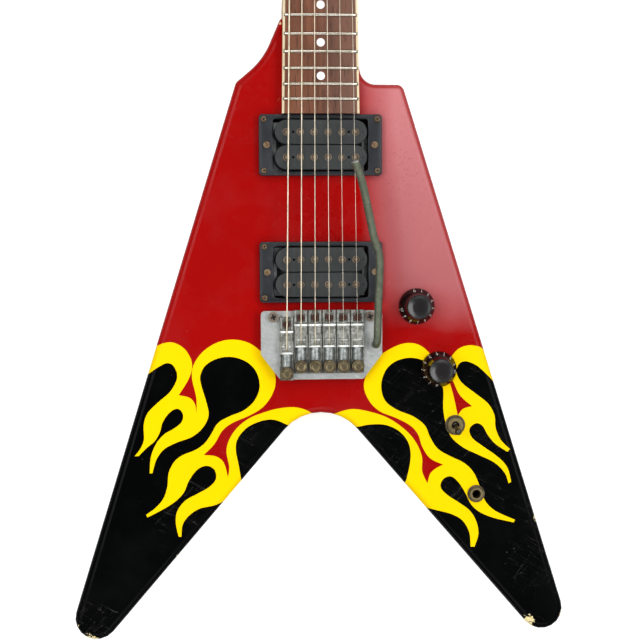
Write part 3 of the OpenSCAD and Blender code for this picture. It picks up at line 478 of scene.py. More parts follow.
# The treble shoulder has small pits. The pale pink over it stands in for light seen in the gloss.
across = root.node("SeparateXYZ", out="X", Vector=place)
upward = root.node("SeparateXYZ", out="Y", Vector=place)
cloudy = noise(root, place, 18.0, 4.0, 0.6) - 0.5
height = root.node("SeparateXYZ", out="Z", Vector=place)
on_face = step(root, height, (BODY_T - 0.7) * MM, (BODY_T - 0.1) * MM)
sheen = step(root, across + upward * 0.08 + cloudy * 0.012, 0.038, 0.070)
sheen = sheen * step(root, upward + cloudy * 0.02, 0.010, 0.044) * (0.25 + 0.75 * on_face)
paler = step(root, upward, 0.05, 0.19)
pits = specks(root, place, 330.0, 0.22) * spot(root, place, (66, 130, 40), 70)
base = Shade(root.tree, shader.inputs["Base Color"].links[0].from_socket)
pink = blend_colour(root, paler, (0.375, 0.115, 0.122), (0.50, 0.18, 0.19))
base = blend_colour(root, sheen * 0.92, base, pink)
root.put(shader.inputs["Base Color"], blend_colour(root, pits * 0.5, base, (0.20, 0.010, 0.012)))
yellow_paint = paint("yellow_paint", (0.87, 0.585, 0.0004), (0.82, 0.545, 0.0004), 0.34, 0.10, 0.03)[0]
black_paint = paint("black_paint", (0.0005, 0.0006, 0.0007), (0.0012, 0.0015, 0.0015), 0.24, 0.34, 0.04)[0]

raw_wood, root, shader, place = finish("routed_wood", Roughness=0.85)
grain = noise(root, place, 55.0, 5.0, 0.6, stretch=(1.0, 0.08, 1.0))
root.put(shader.inputs["Base Color"], blend_colour(root, grain, (0.030, 0.012, 0.010), (0.075, 0.030, 0.018)))
bumped(root, shader, grain, 0.4, 0.0005)

skin = bpy.data.objects.new("painted_body", painted_skin(0.05))
routed = bpy.data.objects.new("routed_slab", nodes["body"].data.copy())
routed.data.materials.clear()
for thing, finishes in ((skin, (red_paint, yellow_paint, black_paint, raw_wood)), (routed, (raw_wood,))):
    scene.collection.objects.link(thing)
    for material in finishes:
        thing.data.materials.append(material)
weld = bmesh.new()
weld.from_mesh(routed.data)
bmesh.ops.remove_doubles(weld, verts=weld.verts, dist=2e-6)
weld.to_mesh(routed.data)
weld.free()
cut = skin.modifiers.new("routing", "BOOLEAN")
cut.operation = "INTERSECT"
cut.solver = "EXACT"
cut.object = routed
cut.material_mode = "TRANSFER"
bpy.context.view_layer.update()
made = bpy.data.meshes.new_from_object(skin.evaluated_get(bpy.context.evaluated_depsgraph_get()))
skin.modifiers.clear()
skin.data = made
bpy.data.objects.remove(routed)
skin.data.shade_smooth()
skin.data.set_sharp_from_angle(angle=math.radians(32))
for face in skin.data.polygons:
    face.use_smooth = abs(face.normal.z) < 0.9995
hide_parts("body")
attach(skin, "guitar")


# ---- Neck: one length of pale wood with the headstock left in its natural colour ----
# Four screws through the back of the body hold it in its pocket. The back of the neck is
# varnished satin and a little darker where the hand runs.

def dress(material, *names, edge=0.0):
    """Gives CAD nodes a material and, if asked, softened edges in millimetres."""
    for name in names:
        thing = nodes[name]
        thing.data.materials.clear()
        thing.data.materials.append(material)
        if edge:
            weld = thing.modifiers.new("weld", "WELD")
            weld.merge_threshold = 2e-6
            bevel = thing.modifiers.new("softened", "BEVEL")
            bevel.width = edge * MM
            bevel.segments = 2
            bevel.limit_method = "ANGLE"
            bevel.angle_limit = math.radians(38)
            thing.modifiers.new("even_normals", "WEIGHTED_NORMAL").keep_sharp = True


neck_wood, root, shader, place = finish("neck_wood", Roughness=0.38, Coat_Weight=0.25)
grain = noise(root, place, 70.0, 6.0, 0.6, stretch=(1.0, 0.05, 1.0))
cloud = noise(root, place, 6.0, 2.0)
tone = blend_colour(root, step(root, grain, 0.3, 0.7), (0.50, 0.27, 0.10), (0.62, 0.37, 0.16))
root.put(shader.inputs["Base Color"],
         blend_colour(root, step(root, cloud, 0.35, 0.75), tone, (0.44, 0.22, 0.08)))
bumped(root, shader, grain, 0.12, 0.0003)
dress(neck_wood, "neck", edge=0.6)


# ---- Fingerboard: a crowned board of dark rosewood glued to the neck ----
# Its open pores run with the strings. It is bound in cream plastic, with round white dots let
# in flush and a bone-coloured nut that the strings lie in.

rosewood, root, shader, place = finish("rosewood", Specular_IOR_Level=0.22)
grain = noise(root, place, 150.0, 6.0, 0.62, stretch=(1.0, 0.10, 1.0))
broad = noise(root, place, 34.0, 3.0, 0.5, stretch=(1.0, 0.10, 1.0))
pores = noise(root, place, 900.0, 2.0, 0.5, stretch=(1.0, 0.07, 1.0))
along = root.node("SeparateXYZ", Vector=place)
wear = noise(root, place, 26.0, 3.0)
tone = blend_colour(root, step(root, grain, 0.32, 0.70), (0.060, 0.019, 0.010), (0.185, 0.070, 0.036))
tone = blend_colour(root, step(root, broad, 0.40, 0.66) * 0.7, tone, (0.245, 0.092, 0.046))
tone = blend_colour(root, step(root, along, -0.004, 0.022) * 0.45, tone, (0.120, 0.080, 0.064))
tone = blend_colour(root, step(root, pores, 0.60, 0.68) * 0.75, tone, (0.028, 0.012, 0.009))
root.put(shader.inputs["Base Color"],
         blend_colour(root, step(root, wear, 0.55, 0.75) * 0.25, tone, (0.30, 0.17, 0.12)))
root.put(shader.inputs["Roughness"], 0.42 + 0.2 * grain)
bumped(root, shader, pores * -0.7 + grain * 0.3, 0.35, 0.0003)
dress(rosewood, "fingerboard")

cream, root, shader, place = finish("cream_plastic", Roughness=0.35, Subsurface_Weight=0.05)
aged = noise(root, place, 40.0, 4.0)
grime = step(root, noise(root, place, 130.0, 5.0, 0.7), 0.60, 0.70)
tone = blend_colour(root, step(root, aged, 0.3, 0.7), (0.72, 0.62, 0.41), (0.62, 0.48, 0.29))
root.put(shader.inputs["Base Color"], blend_colour(root, grime * 0.5, tone, (0.40, 0.24, 0.12)))
dress(cream, "fingerboard_binding")

bone, root, shader, place = finish("bone", Roughness=0.4, Subsurface_Weight=0.05)
root.put(shader.inputs["Base Color"],
         blend_colour(root, noise(root, place, 90.0), (0.80, 0.74, 0.58), (0.70, 0.62, 0.46)))
dress(bone, "nut", edge=0.25)

pearl, root, shader, place = finish("white_dots", Roughness=0.22)
root.put(shader.inputs["Base Color"],
         blend_colour(root, noise(root, place, 60.0), (0.90, 0.90, 0.87), (0.80, 0.80, 0.78)))
dress(pearl, "inlay_dots")


# ---- Frets: lengths of crowned nickel silver wire pressed into slots across the board ----
# Twenty-two of them, bright along the top where the strings rub, with a darker copy of the metal down the
# sides to the board as painted shade.

def metal(name, bright, dull, low, high, tarnish=0.0, stain=(0.12, 0.07, 0.04), scale=90.0):
    """Worn metal: two tones, a roughness range and a share that is stained."""
    material, root, shader, place = finish(name, Metallic=1.0)
    patches = noise(root, place, scale, 5.0, 0.65)
    fine = noise(root, place, scale * 6, 3.0)
    tone = blend_colour(root, step(root, patches, 0.35, 0.65), bright, dull)
    blotches = noise(root, place, scale * 1.7, 6.0, 0.7)
    stained = step(root, blotches, 0.72 - 0.35 * tarnish, 0.80 - 0.35 * tarnish)
    if tarnish:
        tone = blend_colour(root, stained, tone, stain)
        root.put(shader.inputs["Metallic"], 1.0 - 0.65 * stained)
    root.put(shader.inputs["Base Color"], tone)
    root.put(shader.inputs["Roughness"], low + (high - low) * step(root, patches + fine * 0.3, 0.4, 0.9)
             + 0.3 * stained)
    bumped(root, shader, fine * 0.5 + stained * 0.6, 0.18, 0.0002)
    return material


def piece(name, verts, faces, material, *, sharp=None, body=None, replaces=None, slots=None):
    """A mesh piece in millimetres, smooth shaded."""
    mesh = bpy.data.meshes.new(name)
    mesh.from_pydata([(x * MM, y * MM, z * MM) for x, y, z in verts], [], faces)
    mesh.shade_smooth()
    if sharp:
        mesh.set_sharp_from_angle(angle=math.radians(sharp))
    for each in material if isinstance(material, (list, tuple)) else [material]:
        mesh.materials.append(each)
    if slots is not None:
        mesh.polygons.foreach_set("material_index", slots)
    thing = bpy.data.objects.new(name, mesh)
    scene.collection.objects.link(thing)
    if replaces:
        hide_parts(*replaces)
    if body:
        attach(thing, body)
    return thing


def merged(parts):
    verts, faces = [], []
    for v, f in parts:
        faces += [tuple(i + len(verts) for i in each) for each in f]
        verts += v
    return verts, faces


BOARD_R = 305.0
FRET_RISE = 1.2
CROWN_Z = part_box("frets")[1].z / MM - FRET_RISE


def crowned_wire(y):
    """A fret: half-round wire bent to the board's crown, with its ends filed down."""
    reach = neck_half(y) - 0.5
    section = [(1.15 * math.cos(t), FRET_RISE * math.sin(t)) for t in np.linspace(math.pi, 0, 11)]
    verts = []
    for x in [-reach, -reach + 0.5, *np.linspace(-reach + 1.3, reach - 1.3, 13), reach - 0.5, reach]:
        filed = min(1.0, 0.25 + (reach - abs(x)) * 0.65)
        z = CROWN_Z - (BOARD_R - math.sqrt(BOARD_R ** 2 - x * x))
        verts += [(x, y + v, z - 0.05 + h * filed) for v, h in section]
    n = len(section)
    spans = len(verts) // n - 1
    faces = [(k * n + i, (k + 1) * n + i, (k + 1) * n + i + 1, k * n + i + 1)
             for k in range(spans) for i in range(n - 1)]
    # the lower sides of the wire take the darker metal: painted shade
    paint_slots = [0 if 2 <= i <= 7 else 1 for k in range(spans) for i in range(n - 1)]
    faces += [tuple(range(n)), tuple(range(spans * n, (spans + 1) * n))[::-1]]
    return verts, faces, paint_slots + [1, 1]


nickel_silver = metal("nickel_silver", (0.74, 0.69, 0.60), (0.52, 0.46, 0.36), 0.20, 0.30, scale=22.0)
fret_side_shade = metal("fret_side_shade", (0.30, 0.26, 0.20), (0.18, 0.15, 0.11), 0.4, 0.6)
wires = [crowned_wire(SCALE * 2 ** (-k / 12)) for k in range(1, 23)]
frets = piece("fret_wires", *merged([wire[:2] for wire in wires]), [nickel_silver, fret_side_shade], sharp=60,
              slots=[slot for wire in wires for slot in wire[2]], body="guitar", replaces=["frets"])


# ---- Headstock fittings: six enclosed tuners with oval buttons, bushings and posts ----
# Plated steel, three to a side, with a plain black plastic cover over the truss rod's end.

plated = metal("plated_steel", (0.72, 0.73, 0.73), (0.55, 0.56, 0.56), 0.20, 0.36, tarnish=0.25)
dress(plated, "tuner_housings", "tuner_bushings", edge=0.4)
dress(plated, *[f"tuner_post_{i + 1}" for i in range(6)], edge=0.2)
dress(plated, *[f"tuner_button_{i + 1}" for i in range(6)], edge=0.5)
dress(plated, "truss_rod")

black_plastic, root, shader, place = finish("black_plastic")
dust = noise(root, place, 240.0, 5.0, 0.7)
haze = noise(root, place, 20.0, 3.0)
tone = blend_colour(root, step(root, haze, 0.3, 0.75), (0.004, 0.006, 0.009), (0.009, 0.012, 0.017))
root.put(shader.inputs["Base Color"],
         blend_colour(root, step(root, dust, 0.60, 0.74) * 0.35, tone, (0.09, 0.09, 0.09)))
root.put(shader.inputs["Roughness"], 0.30 + 0.25 * step(root, haze + dust * 0.3, 0.4, 0.9))
bumped(root, shader, dust, 0.06, 0.0002)
dress(black_plastic, "truss_rod_cover", edge=0.3)


# ---- Strings: plain and wound steel, hooked in the saddles and wound on the tuner posts ----
# The three thick ones are wrapped in fine wire and have dulled to a pale gold.

def swept(points, radius, sides):
    """A round tube along the points, as vertices and faces."""
    p = np.array(points, float)
    ahead = np.gradient(p, axis=0)
    ahead /= np.linalg.norm(ahead, axis=1)[:, None]
    across = np.cross(ahead[0], (0.31, 0.17, 0.94))
    verts = []
    for k in range(len(p)):
        across = across - ahead[k] * (across @ ahead[k])
        across /= np.linalg.norm(across)
        up = np.cross(ahead[k], across)
        r = radius[k] if hasattr(radius, "__len__") else radius
        for j in range(sides):
            t = 2 * math.pi * j / sides
            verts.append(tuple(p[k] + r * (math.cos(t) * across + math.sin(t) * up)))
    faces = [(k * sides + j, k * sides + (j + 1) % sides, (k + 1) * sides + (j + 1) % sides,
              (k + 1) * sides + j) for k in range(len(p) - 1) for j in range(sides)]
    faces += [tuple(range(sides))[::-1], tuple(range((len(p) - 1) * sides, len(p) * sides))]
    return verts, faces


STRING_R = [0.58, 0.46, 0.36, 0.24, 0.18, 0.15]
SADDLE_STRING_Z, NUT_STRING_Z = 53, 50.6
WRAP_Z = 45.4
STRING_PITCH, NUT_PITCH = 10.5, 7.1
BASS_SADDLE_BACK = 5
tuner_at = [(-26, 696), (-26, 736), (-26, 776), (26, 776), (26, 736), (26, 696)]


def string_x(i, y):
    return (i - 2.5) * (STRING_PITCH + (NUT_PITCH - STRING_PITCH) * y / SCALE)


string_finishes = []
for name, tone in (("wound_string", (0.74, 0.66, 0.50)), ("plain_string", (0.80, 0.74, 0.60))):
    material, root, shader, place = finish(name, Metallic=1.0)
    grime = noise(root, place, 120.0, 4.0)
    root.put(shader.inputs["Base Color"],
             blend_colour(root, step(root, grime, 0.45, 0.7), tone, tuple(0.72 * c for c in tone)))
    root.put(shader.inputs["Roughness"], 0.26 + 0.2 * grime)
    if name == "wound_string":
        wraps = root.node("TexWave", settings={"bands_direction": "Y"}, Vector=place, Scale=900.0)
        bumped(root, shader, wraps, 0.12, 0.00005)
    string_finishes.append(material)

for i, r in enumerate(STRING_R):
    saddle_y = 5 - BASS_SADDLE_BACK * (i == 0)
    x0, x1 = string_x(i, saddle_y), string_x(i, SCALE)
    z0 = SADDLE_STRING_Z + (NUT_STRING_Z - SADDLE_STRING_Z) * saddle_y / SCALE
    # behind the crest the string dips into its saddle
    open_length = [(x0, saddle_y - 5.2, z0 - 3.1), (x0, saddle_y - 3.6, z0 - 1.7),
                   (x0, saddle_y - 1.6, z0 - 0.35), (x0, saddle_y, z0)]
    open_length += [(x0 + (x1 - x0) * t, saddle_y + (SCALE - saddle_y) * t, z0 + (NUT_STRING_Z - z0) * t)
                    for t in np.linspace(0.02, 1, 50)]
    tx, ty = tuner_at[i]
    hand = 1 if tx > 0 else -1
    reach = 3 + r + 0.05
    meet = (tx - hand * reach, ty)
    open_length += [(x1, SCALE + 2.5, NUT_STRING_Z), (x1, SCALE + 4.7, NUT_STRING_Z - 0.15),
                    (x1 + (meet[0] - x1) * 0.5, SCALE + 5 + (ty - SCALE - 5) * 0.5,
                     (NUT_STRING_Z + WRAP_Z) / 2)]
    turns = [(tx + reach * math.cos(a), ty + reach * math.sin(a), WRAP_Z + r * 1.8 - 1.05 * r * 2 * k / 16)
             for k in range(50) for a in [math.pi * (hand > 0) - hand * 2 * math.pi * k / 16]]
    verts, faces = swept(open_length + turns, r, 8)
    thing = piece(f"string_{i + 1}", verts, faces, string_finishes[i > 2])
    if i == 0:
        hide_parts("strings")
    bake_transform(thing)


# ---- Pickups: two black humbuckers in plastic frames, each screwed down at its corners ----
# Two bobbins lie side by side over a magnet and a base plate. The screws through them and the
# frame have gone brown with rust round the rims.

rusty = metal("rusty_steel", (0.36, 0.27, 0.17), (0.21, 0.14, 0.08), 0.36, 0.58, tarnish=0.6,
              stain=(0.13, 0.060, 0.026), scale=240.0)
dress(plated, "pickup_baseplates")
dress(metal("dark_magnet", (0.20, 0.20, 0.21), (0.12, 0.12, 0.13), 0.5, 0.7), "pickup_magnets")
dress(rusty, "height_screws", edge=0.1)

# the pole screws' tops are near black: painted shade of their hex sockets
pole_socket_shade, root, shader, place = finish("pole_socket_shade", Metallic=0.4)
mottle = noise(root, place, 420.0, 4.0)
root.put(shader.inputs["Base Color"],
         blend_colour(root, step(root, mottle, 0.35, 0.65), (0.030, 0.028, 0.026), (0.070, 0.055, 0.042)))
root.put(shader.inputs["Roughness"], 0.45 + 0.2 * mottle)
dress(pole_socket_shade, "pole_screws")


def corners_round(half_x, half_y, r, steps=6):
    return rounded([(sx * half_x, sy * half_y, r) for sx, sy in ((1, -1), (1, 1), (-1, 1), (-1, -1))], steps)


def frame_or_block(outer, rise, hole=None, softened=0.8, holes=()):
    """A flat piece with softened upper edges, from outline points; holes are (x, y, radius)."""
    z0, z1 = rise
    bevels = [(softened * (1 - math.sin(a)), z1 - softened * (1 - math.cos(a)))
              for a in (math.pi / 2, math.pi / 3, math.pi / 6, 0)]
    loops, verts, faces = [], [], []

    def wall(points, sign):
        levels = [(0, z0)] + bevels
        rings = []
        for inset_by, z in levels:
            ring = [(x - sign * inset_by * nx, y - sign * inset_by * ny, z) for x, y, nx, ny in points]
            rings.append(list(range(len(verts), len(verts) + len(ring))))
            verts.extend(ring)
        for low, high in zip(rings, rings[1:]):
            n = len(low)
            faces.extend((low[k], low[(k + 1) % n], high[(k + 1) % n], high[k]) for k in range(n))
        loops.append((rings[-1], rings[0]))

    wall(outer, 1)
    inner = [hole] if hole is not None else []
    for x, y, r in holes:
        turn = np.linspace(0, -2 * math.pi, 17)[:-1]
        inner.append(np.array([(x + r * math.cos(t), y + r * math.sin(t), -math.cos(t), -math.sin(t))
                               for t in turn]))
    for each in inner:
        wall(each if each is not hole else each[::-1] * np.array((1, 1, -1, -1)), 1 if each is hole else 0)
    for which in (0, 1):
        plan = [Vector(verts[i][:2]) for loop in loops for i in loop[which]]
        index = [i for loop in loops for i in loop[which]]
        edges, k = [], 0
        for loop in loops:
            n = len(loop[which])
            edges += [(k + i, k + (i + 1) % n) for i in range(n)]
            k += n
        flat, _, cells, origin, *_ = delaunay_2d_cdt(plan, edges, [], 0, 1e-6)
        back_to = [index[o[0]] if o else None for o in origin]
        edge_of = [np.array([verts[i][:2] for i in loop[which]]) for loop in loops]
        for cell in cells:
            middle = np.mean([flat[i] for i in cell], axis=0)[None]
            if inside(middle, edge_of[0])[0] and not any(inside(middle, e)[0] for e in edge_of[1:]):
                loop = [back_to[i] for i in cell]
                faces.append(tuple(loop if which == 0 else loop[::-1]))
    return verts, faces


def shifted(part, dx, dy):
    return [(x + dx, y + dy, z) for x, y, z in part[0]], part[1]


bobbin_plastic, root, shader, place = finish("bobbin_plastic", Specular_IOR_Level=0.22)
haze = noise(root, place, 45.0, 4.0)
dust = noise(root, place, 300.0, 4.0, 0.7)
tone = blend_colour(root, step(root, haze, 0.3, 0.75), (0.024, 0.027, 0.027), (0.036, 0.039, 0.039))
root.put(shader.inputs["Base Color"],
         blend_colour(root, step(root, dust, 0.62, 0.74) * 0.3, tone, (0.12, 0.12, 0.115)))
root.put(shader.inputs["Roughness"], 0.42 + 0.2 * haze)

pickup_at = (148.42, 54.8)
coil_rows = (-9.25, 9.25)
pole_x = [(i - 2.5) * 10.2 for i in range(6)]
corner_screws = [(sx * 41.9, sy * 18.9) for sx in (-1, 1) for sy in (-1, 1)]
screw_holes = [(x, y, 1.35) for x, y in corner_screws] + [(39.9, 0, 1.65), (-39.9, 0, 1.65)]
pickup_frame = frame_or_block(corners_round(45.5, 22.5, 2.5), (40, 45), hole=corners_round(35, 19, 2),
                              holes=screw_holes)
coil_top = frame_or_block(corners_round(34, 9, 8.99, 12), (30, 48.6), softened=0.7,
                          holes=[(x, 0, 2.3) for x in pole_x])
rings = piece("pickup_frames", *merged([shifted(pickup_frame, 0, y) for y in pickup_at]),
              black_plastic, sharp=50, body="guitar", replaces=["pickup_rings"])
coils = piece("coil_tops", *merged([shifted(coil_top, 0, y + row) for y in pickup_at for row in coil_rows]),
              bobbin_plastic, sharp=50, body="guitar", replaces=["pickup_bobbins"])


def lathe(profile, sides, centre=(0, 0, 0), wobble=None):
    """Spins (radius, height) points about Z; wobble(angle, k) scales a ring's radius."""
    verts, faces = [], []
    for k, (r, z) in enumerate(profile):
        for j in range(sides):
            t = 2 * math.pi * j / sides
            s = wobble(t, k) if wobble else 1
            verts.append((centre[0] + r * s * math.cos(t), centre[1] + r * s * math.sin(t), centre[2] + z))
    for k in range(len(profile) - 1):
        faces += [(k * sides + j, k * sides + (j + 1) % sides, (k + 1) * sides + (j + 1) % sides,
                   (k + 1) * sides + j) for j in range(sides)]
    faces += [tuple(range(sides))[::-1], tuple(range((len(profile) - 1) * sides, len(profile) * sides))]
    return verts, faces


# thin rings of rust round the screws' heads, and small near-black dots between them: painted shade of small
# holes in the bobbins
rims, dots = [], []
for pickup_y in pickup_at:
    for row in coil_rows:
        for x in pole_x:
            rims.append(lathe([(2.55, 48.55), (2.55, 48.85), (2.35, 48.98), (2.10, 48.98), (1.98, 48.85),
                               (1.98, 48.5)], 28, (x, pickup_y + row, 0)))
        for x, r in ((-20.4, 0.95), (20.4, 0.95), (31.0, 0.5)):
            dots.append(lathe([(r, 48.5), (r, 48.63), (r - 0.1, 48.66), (0.01, 48.66)], 16,
                              (x, pickup_y + row, 0)))
piece("screw_rims", *merged(rims), rusty, sharp=50, body="guitar")
# the dots are near black and dull: painted shade of the holes
hole_shade = finish("hole_shade", Base_Color=(0.001, 0.001, 0.001), Roughness=0.9, Specular_IOR_Level=0.05)[0]
piece("hole_shade_dots", *merged(dots), hole_shade, body="guitar")


# ---- Controls: two turned pots with moulded knobs, a toggle switch and an output socket ----
# Each is clamped to the wood by a ring nut on the face. The knobs are smoky black with a dial of
# white numbers round the skirt, and the nuts have gone dull brown.

tarnished = metal("tarnished_brass", (0.190, 0.160, 0.095), (0.110, 0.086, 0.048), 0.34, 0.52, tarnish=0.55,
                  stain=(0.060, 0.038, 0.018), scale=190.0)
dress(tarnished, "panel_nuts", edge=0.25)
dress(metal("dark_lever", (0.11, 0.10, 0.085), (0.05, 0.042, 0.034), 0.24, 0.42), "toggle_lever")
dress(plated, "pots", "volume_shaft", "tone_shaft")
dress(metal("dulled_brass", (0.36, 0.29, 0.15), (0.22, 0.17, 0.08), 0.30, 0.48, tarnish=0.4),
      "output_jack", "switch_body")

smoky, root, shader, place = finish("smoky_knob", IOR=1.5)
dust = noise(root, place, 320.0, 4.0, 0.7)
height = root.node("SeparateXYZ", out="Z", Vector=place)
cap = step(root, height, 0.0548, 0.0556)
tone = blend_colour(root, cap, (0.008, 0.003, 0.003), (0.011, 0.011, 0.012))
root.put(shader.inputs["Base Color"],
         blend_colour(root, step(root, dust, 0.66, 0.74) * 0.4, tone, (0.20, 0.20, 0.19)))
root.put(shader.inputs["Roughness"], 0.09 + 0.16 * cap)
numbers_white = finish("dial_white", Base_Color=(0.62, 0.60, 0.54), Roughness=0.4)[0]

# each figure of the dial is drawn in strokes on a grid two wide and four tall
FIGURES = {"0": [[(0, 1), (0, 3), (1, 4), (2, 3), (2, 1), (1, 0), (0, 1)]],
           "1": [[(0.3, 3.2), (1.1, 4), (1.1, 0)]],
           "2": [[(0, 3.2), (1, 4), (2, 3.1), (1.6, 2), (0, 0), (2, 0)]],
           "3": [[(0, 3.6), (1, 4), (2, 3.1), (0.9, 2.1), (2, 1.1), (1, 0), (0, 0.5)]],
           "4": [[(1.5, 0), (1.5, 4), (0, 1.2), (2.1, 1.2)]],
           "5": [[(2, 4), (0.3, 4), (0.1, 2.2), (1.3, 2.4), (2, 1.3), (1, 0), (0, 0.4)]],
           "6": [[(1.7, 4), (0.3, 2.4), (0, 1), (1, 0), (2, 1.1), (1, 2.2), (0.2, 1.6)]],
           "7": [[(0, 4), (2, 4), (0.7, 0)]],
           "8": [[(1, 2.1), (0.1, 3.1), (1, 4), (1.9, 3.1), (1, 2.1), (0, 1), (1, 0), (2, 1), (1, 2.1)]],
           "9": [[(0.3, 0), (1.7, 1.6), (2, 3), (1, 4), (0, 2.9), (1, 1.8), (1.8, 2.4)]]}


def strip(line, width):
    """A flat ribbon along a line of (u, v) points."""
    p = np.array(line, float)
    ahead = np.gradient(p, axis=0)
    ahead /= np.maximum(np.linalg.norm(ahead, axis=1), 1e-9)[:, None]
    side = np.stack([-ahead[:, 1], ahead[:, 0]], 1) * width / 2
    verts = [tuple(q) for pair in zip(p + side, p - side) for q in pair]
    return verts, [(2 * k, 2 * k + 2, 2 * k + 3, 2 * k + 1) for k in range(len(p) - 1)]


SKIRT_SLOPE = 5.4


def skirt_point(u, v, turn):
    """A dial mark's place on the sloping skirt: u runs round, v up the slope, in millimetres."""
    r = 13.32 - 3.02 * v / SKIRT_SLOPE
    a = turn + u / 12.3
    return ((r + 0.05) * math.cos(a), (r + 0.05) * math.sin(a), 42.45 + 4.4 * v / SKIRT_SLOPE + 0.03)


KNOBS = {"volume": ((71.7, 28.7), -0.6), "tone": ((88.3, -18.7), 2.2)}
for name, ((kx, ky), pointer) in KNOBS.items():
    ribs = lathe([(4.0, 43.5), (4.0, 40.7), (13.0, 40.6), (13.45, 41.0), (13.5, 41.6), (13.42, 42.1),
                  (13.2, 42.45), (10.35, 46.7), (9.95, 47.1), (9.7, 47.6), (9.35, 54.9), (9.05, 55.7),
                  (8.55, 56.1), (7.9, 56.02), (6.9, 55.5), (3.5, 55.28), (0.02, 55.22)], 120, (kx, ky, 0),
                 wobble=lambda t, k: 1 - 0.016 * (8 < k < 11) * (math.cos(24 * t) > 0.2))
    piece(f"{name}_dial", *ribs, smoky, sharp=40, body=name, replaces=[f"{name}_knob"])
    marks = []
    for n in range(11):
        turn = pointer - math.radians(270) * (n / 10 - 0.5)
        marks.append((*strip([(0, 0.1), (0, 1.0)], 0.30), turn))
        for k, figure in enumerate(str(n)):
            shift = (k - len(str(n)) / 2) * 1.7
            for line in FIGURES[figure]:
                spread = [(x * 0.62 + shift + 0.25, 1.7 + y * 0.62) for x, y in line]
                marks.append((*strip(spread, 0.34), turn))
    solid_marks = [([tuple(np.add(skirt_point(u, v, turn), (kx, ky, 0))) for u, v in verts], faces)
                   for verts, faces, turn in marks]
    piece(f"{name}_numbers", *merged(solid_marks), numbers_white, body=name)

dress(finish("dipped_resin", Base_Color=(0.42, 0.12, 0.03), Roughness=0.25)[0], "tone_capacitor", edge=0.5)
cover_black, root, shader, place = finish("cover_black")
scuffs = noise(root, place, 30.0, 5.0, 0.6)
root.put(shader.inputs["Base Color"],
         blend_colour(root, scuffs, (0.012, 0.012, 0.013), (0.030, 0.030, 0.031)))
root.put(shader.inputs["Roughness"], 0.45 + 0.15 * scuffs)
dress(cover_black, "control_cover", "spring_cover")


# ---- Tremolo: a plate that rocks on two posts, with a block under it that the springs pull ----
# Six cast saddle modules are screwed to the plate, each with a crest under the string and a
# knurled fine tuner behind. The plating is scratched grey and the small screws have rusted.

plate_steel, root, shader, place = finish("plate_steel", Metallic=0.92)
patches = noise(root, place, 120.0, 6.0, 0.7)
pitting = noise(root, place, 700.0, 4.0, 0.7)
turned = root.node("Mapping", Vector=place, Rotation=(0, 0, 0.35))
brushed = noise(root, turned, 700.0, 3.0, 0.6, stretch=(0.10, 1.0, 1.0))
tone = blend_colour(root, step(root, patches, 0.35, 0.68), (0.66, 0.68, 0.67), (0.40, 0.43, 0.41))
tone = blend_colour(root, step(root, brushed, 0.56, 0.70) * 0.45, tone, (0.85, 0.86, 0.85))
rust = step(root, noise(root, place, 210.0, 6.0, 0.75), 0.665, 0.72)
root.put(shader.inputs["Base Color"], blend_colour(root, rust * 0.7, tone, (0.16, 0.085, 0.045)))
root.put(shader.inputs["Roughness"], 0.30 + 0.24 * patches + 0.2 * rust)
bumped(root, shader, pitting * 0.6 + brushed * 0.4, 0.30, 0.0002)
dress(plate_steel, "trem_plate", edge=0.5)

saddle_steel, root, shader, place = finish("saddle_steel", Metallic=0.95)
patches = noise(root, place, 260.0, 6.0, 0.72)
pitting = noise(root, place, 900.0, 4.0, 0.7)
tone = blend_colour(root, step(root, patches, 0.36, 0.64), (0.66, 0.67, 0.64), (0.22, 0.225, 0.195))
low_down = root.node("SeparateXYZ", out="Z", Vector=place)
# the lower parts of the saddles are darker and rougher in patches
low_parts = 1 - step(root, low_down, 0.0495, 0.0522)
tone = blend_colour(root, low_parts * step(root, patches, 0.24, 0.52) * 0.85, tone, (0.085, 0.082, 0.062))
root.put(shader.inputs["Base Color"], tone)
root.put(shader.inputs["Roughness"], 0.24 + 0.34 * step(root, patches, 0.35, 0.7) + 0.2 * low_parts)
bumped(root, shader, pitting, 0.5, 0.0003)


def bar(x0, x1, outline_yz):
    """A bar across the strings with the given (y, z) outline, its ends drawn in a little."""
    n = len(outline_yz)
    my, mz = np.mean(outline_yz, axis=0)
    verts = []
    for x, draw in ((x0, 0.94), (x0 + 0.25, 1), (x1 - 0.25, 1), (x1, 0.94)):
        verts += [(x, my + (y - my) * draw, mz + (z - mz) * draw) for y, z in outline_yz]
    faces = [(k * n + i, k * n + (i + 1) % n, (k + 1) * n + (i + 1) % n, (k + 1) * n + i)
             for k in range(3) for i in range(n)]
    return verts, faces + [tuple(range(n))[::-1], tuple(range(3 * n, 4 * n))]


def chamfered(x0, x1, y0, y1, z0, z1, c=0.3):
    """A block with its four upper edges taken off."""
    verts = [(x0, y0, z0), (x1, y0, z0), (x1, y1, z0), (x0, y1, z0)]
    verts += [(x0, y0, z1 - c), (x1, y0, z1 - c), (x1, y1, z1 - c), (x0, y1, z1 - c)]
    verts += [(x0 + c, y0 + c, z1), (x1 - c, y0 + c, z1), (x1 - c, y1 - c, z1), (x0 + c, y1 - c, z1)]
    faces = [(3, 2, 1, 0), (8, 9, 10, 11)]
    faces += [(a + k, a + (k + 1) % 4, b + (k + 1) % 4, b + k) for a, b in ((0, 4), (4, 8)) for k in range(4)]
    return verts, faces


def hump(y, z, r):
    """A round-topped ridge's outline, facing the ends of the guitar."""
    return [(y - r, 0), *[(y + r * math.cos(t), z - r + r * math.sin(t)) for t in np.linspace(math.pi, 0, 9)],
            (y + r, 0)][::-1]


def ridge(y, z, half):
    """A sharper ridge with two slopes that catch the light from both ends."""
    shoulder = z - 0.48 * half
    return [(y - half, 0), (y - half, shoulder), (y, z), (y + half, shoulder), (y + half, 0)][::-1]


PLATE_TOP = 47.3


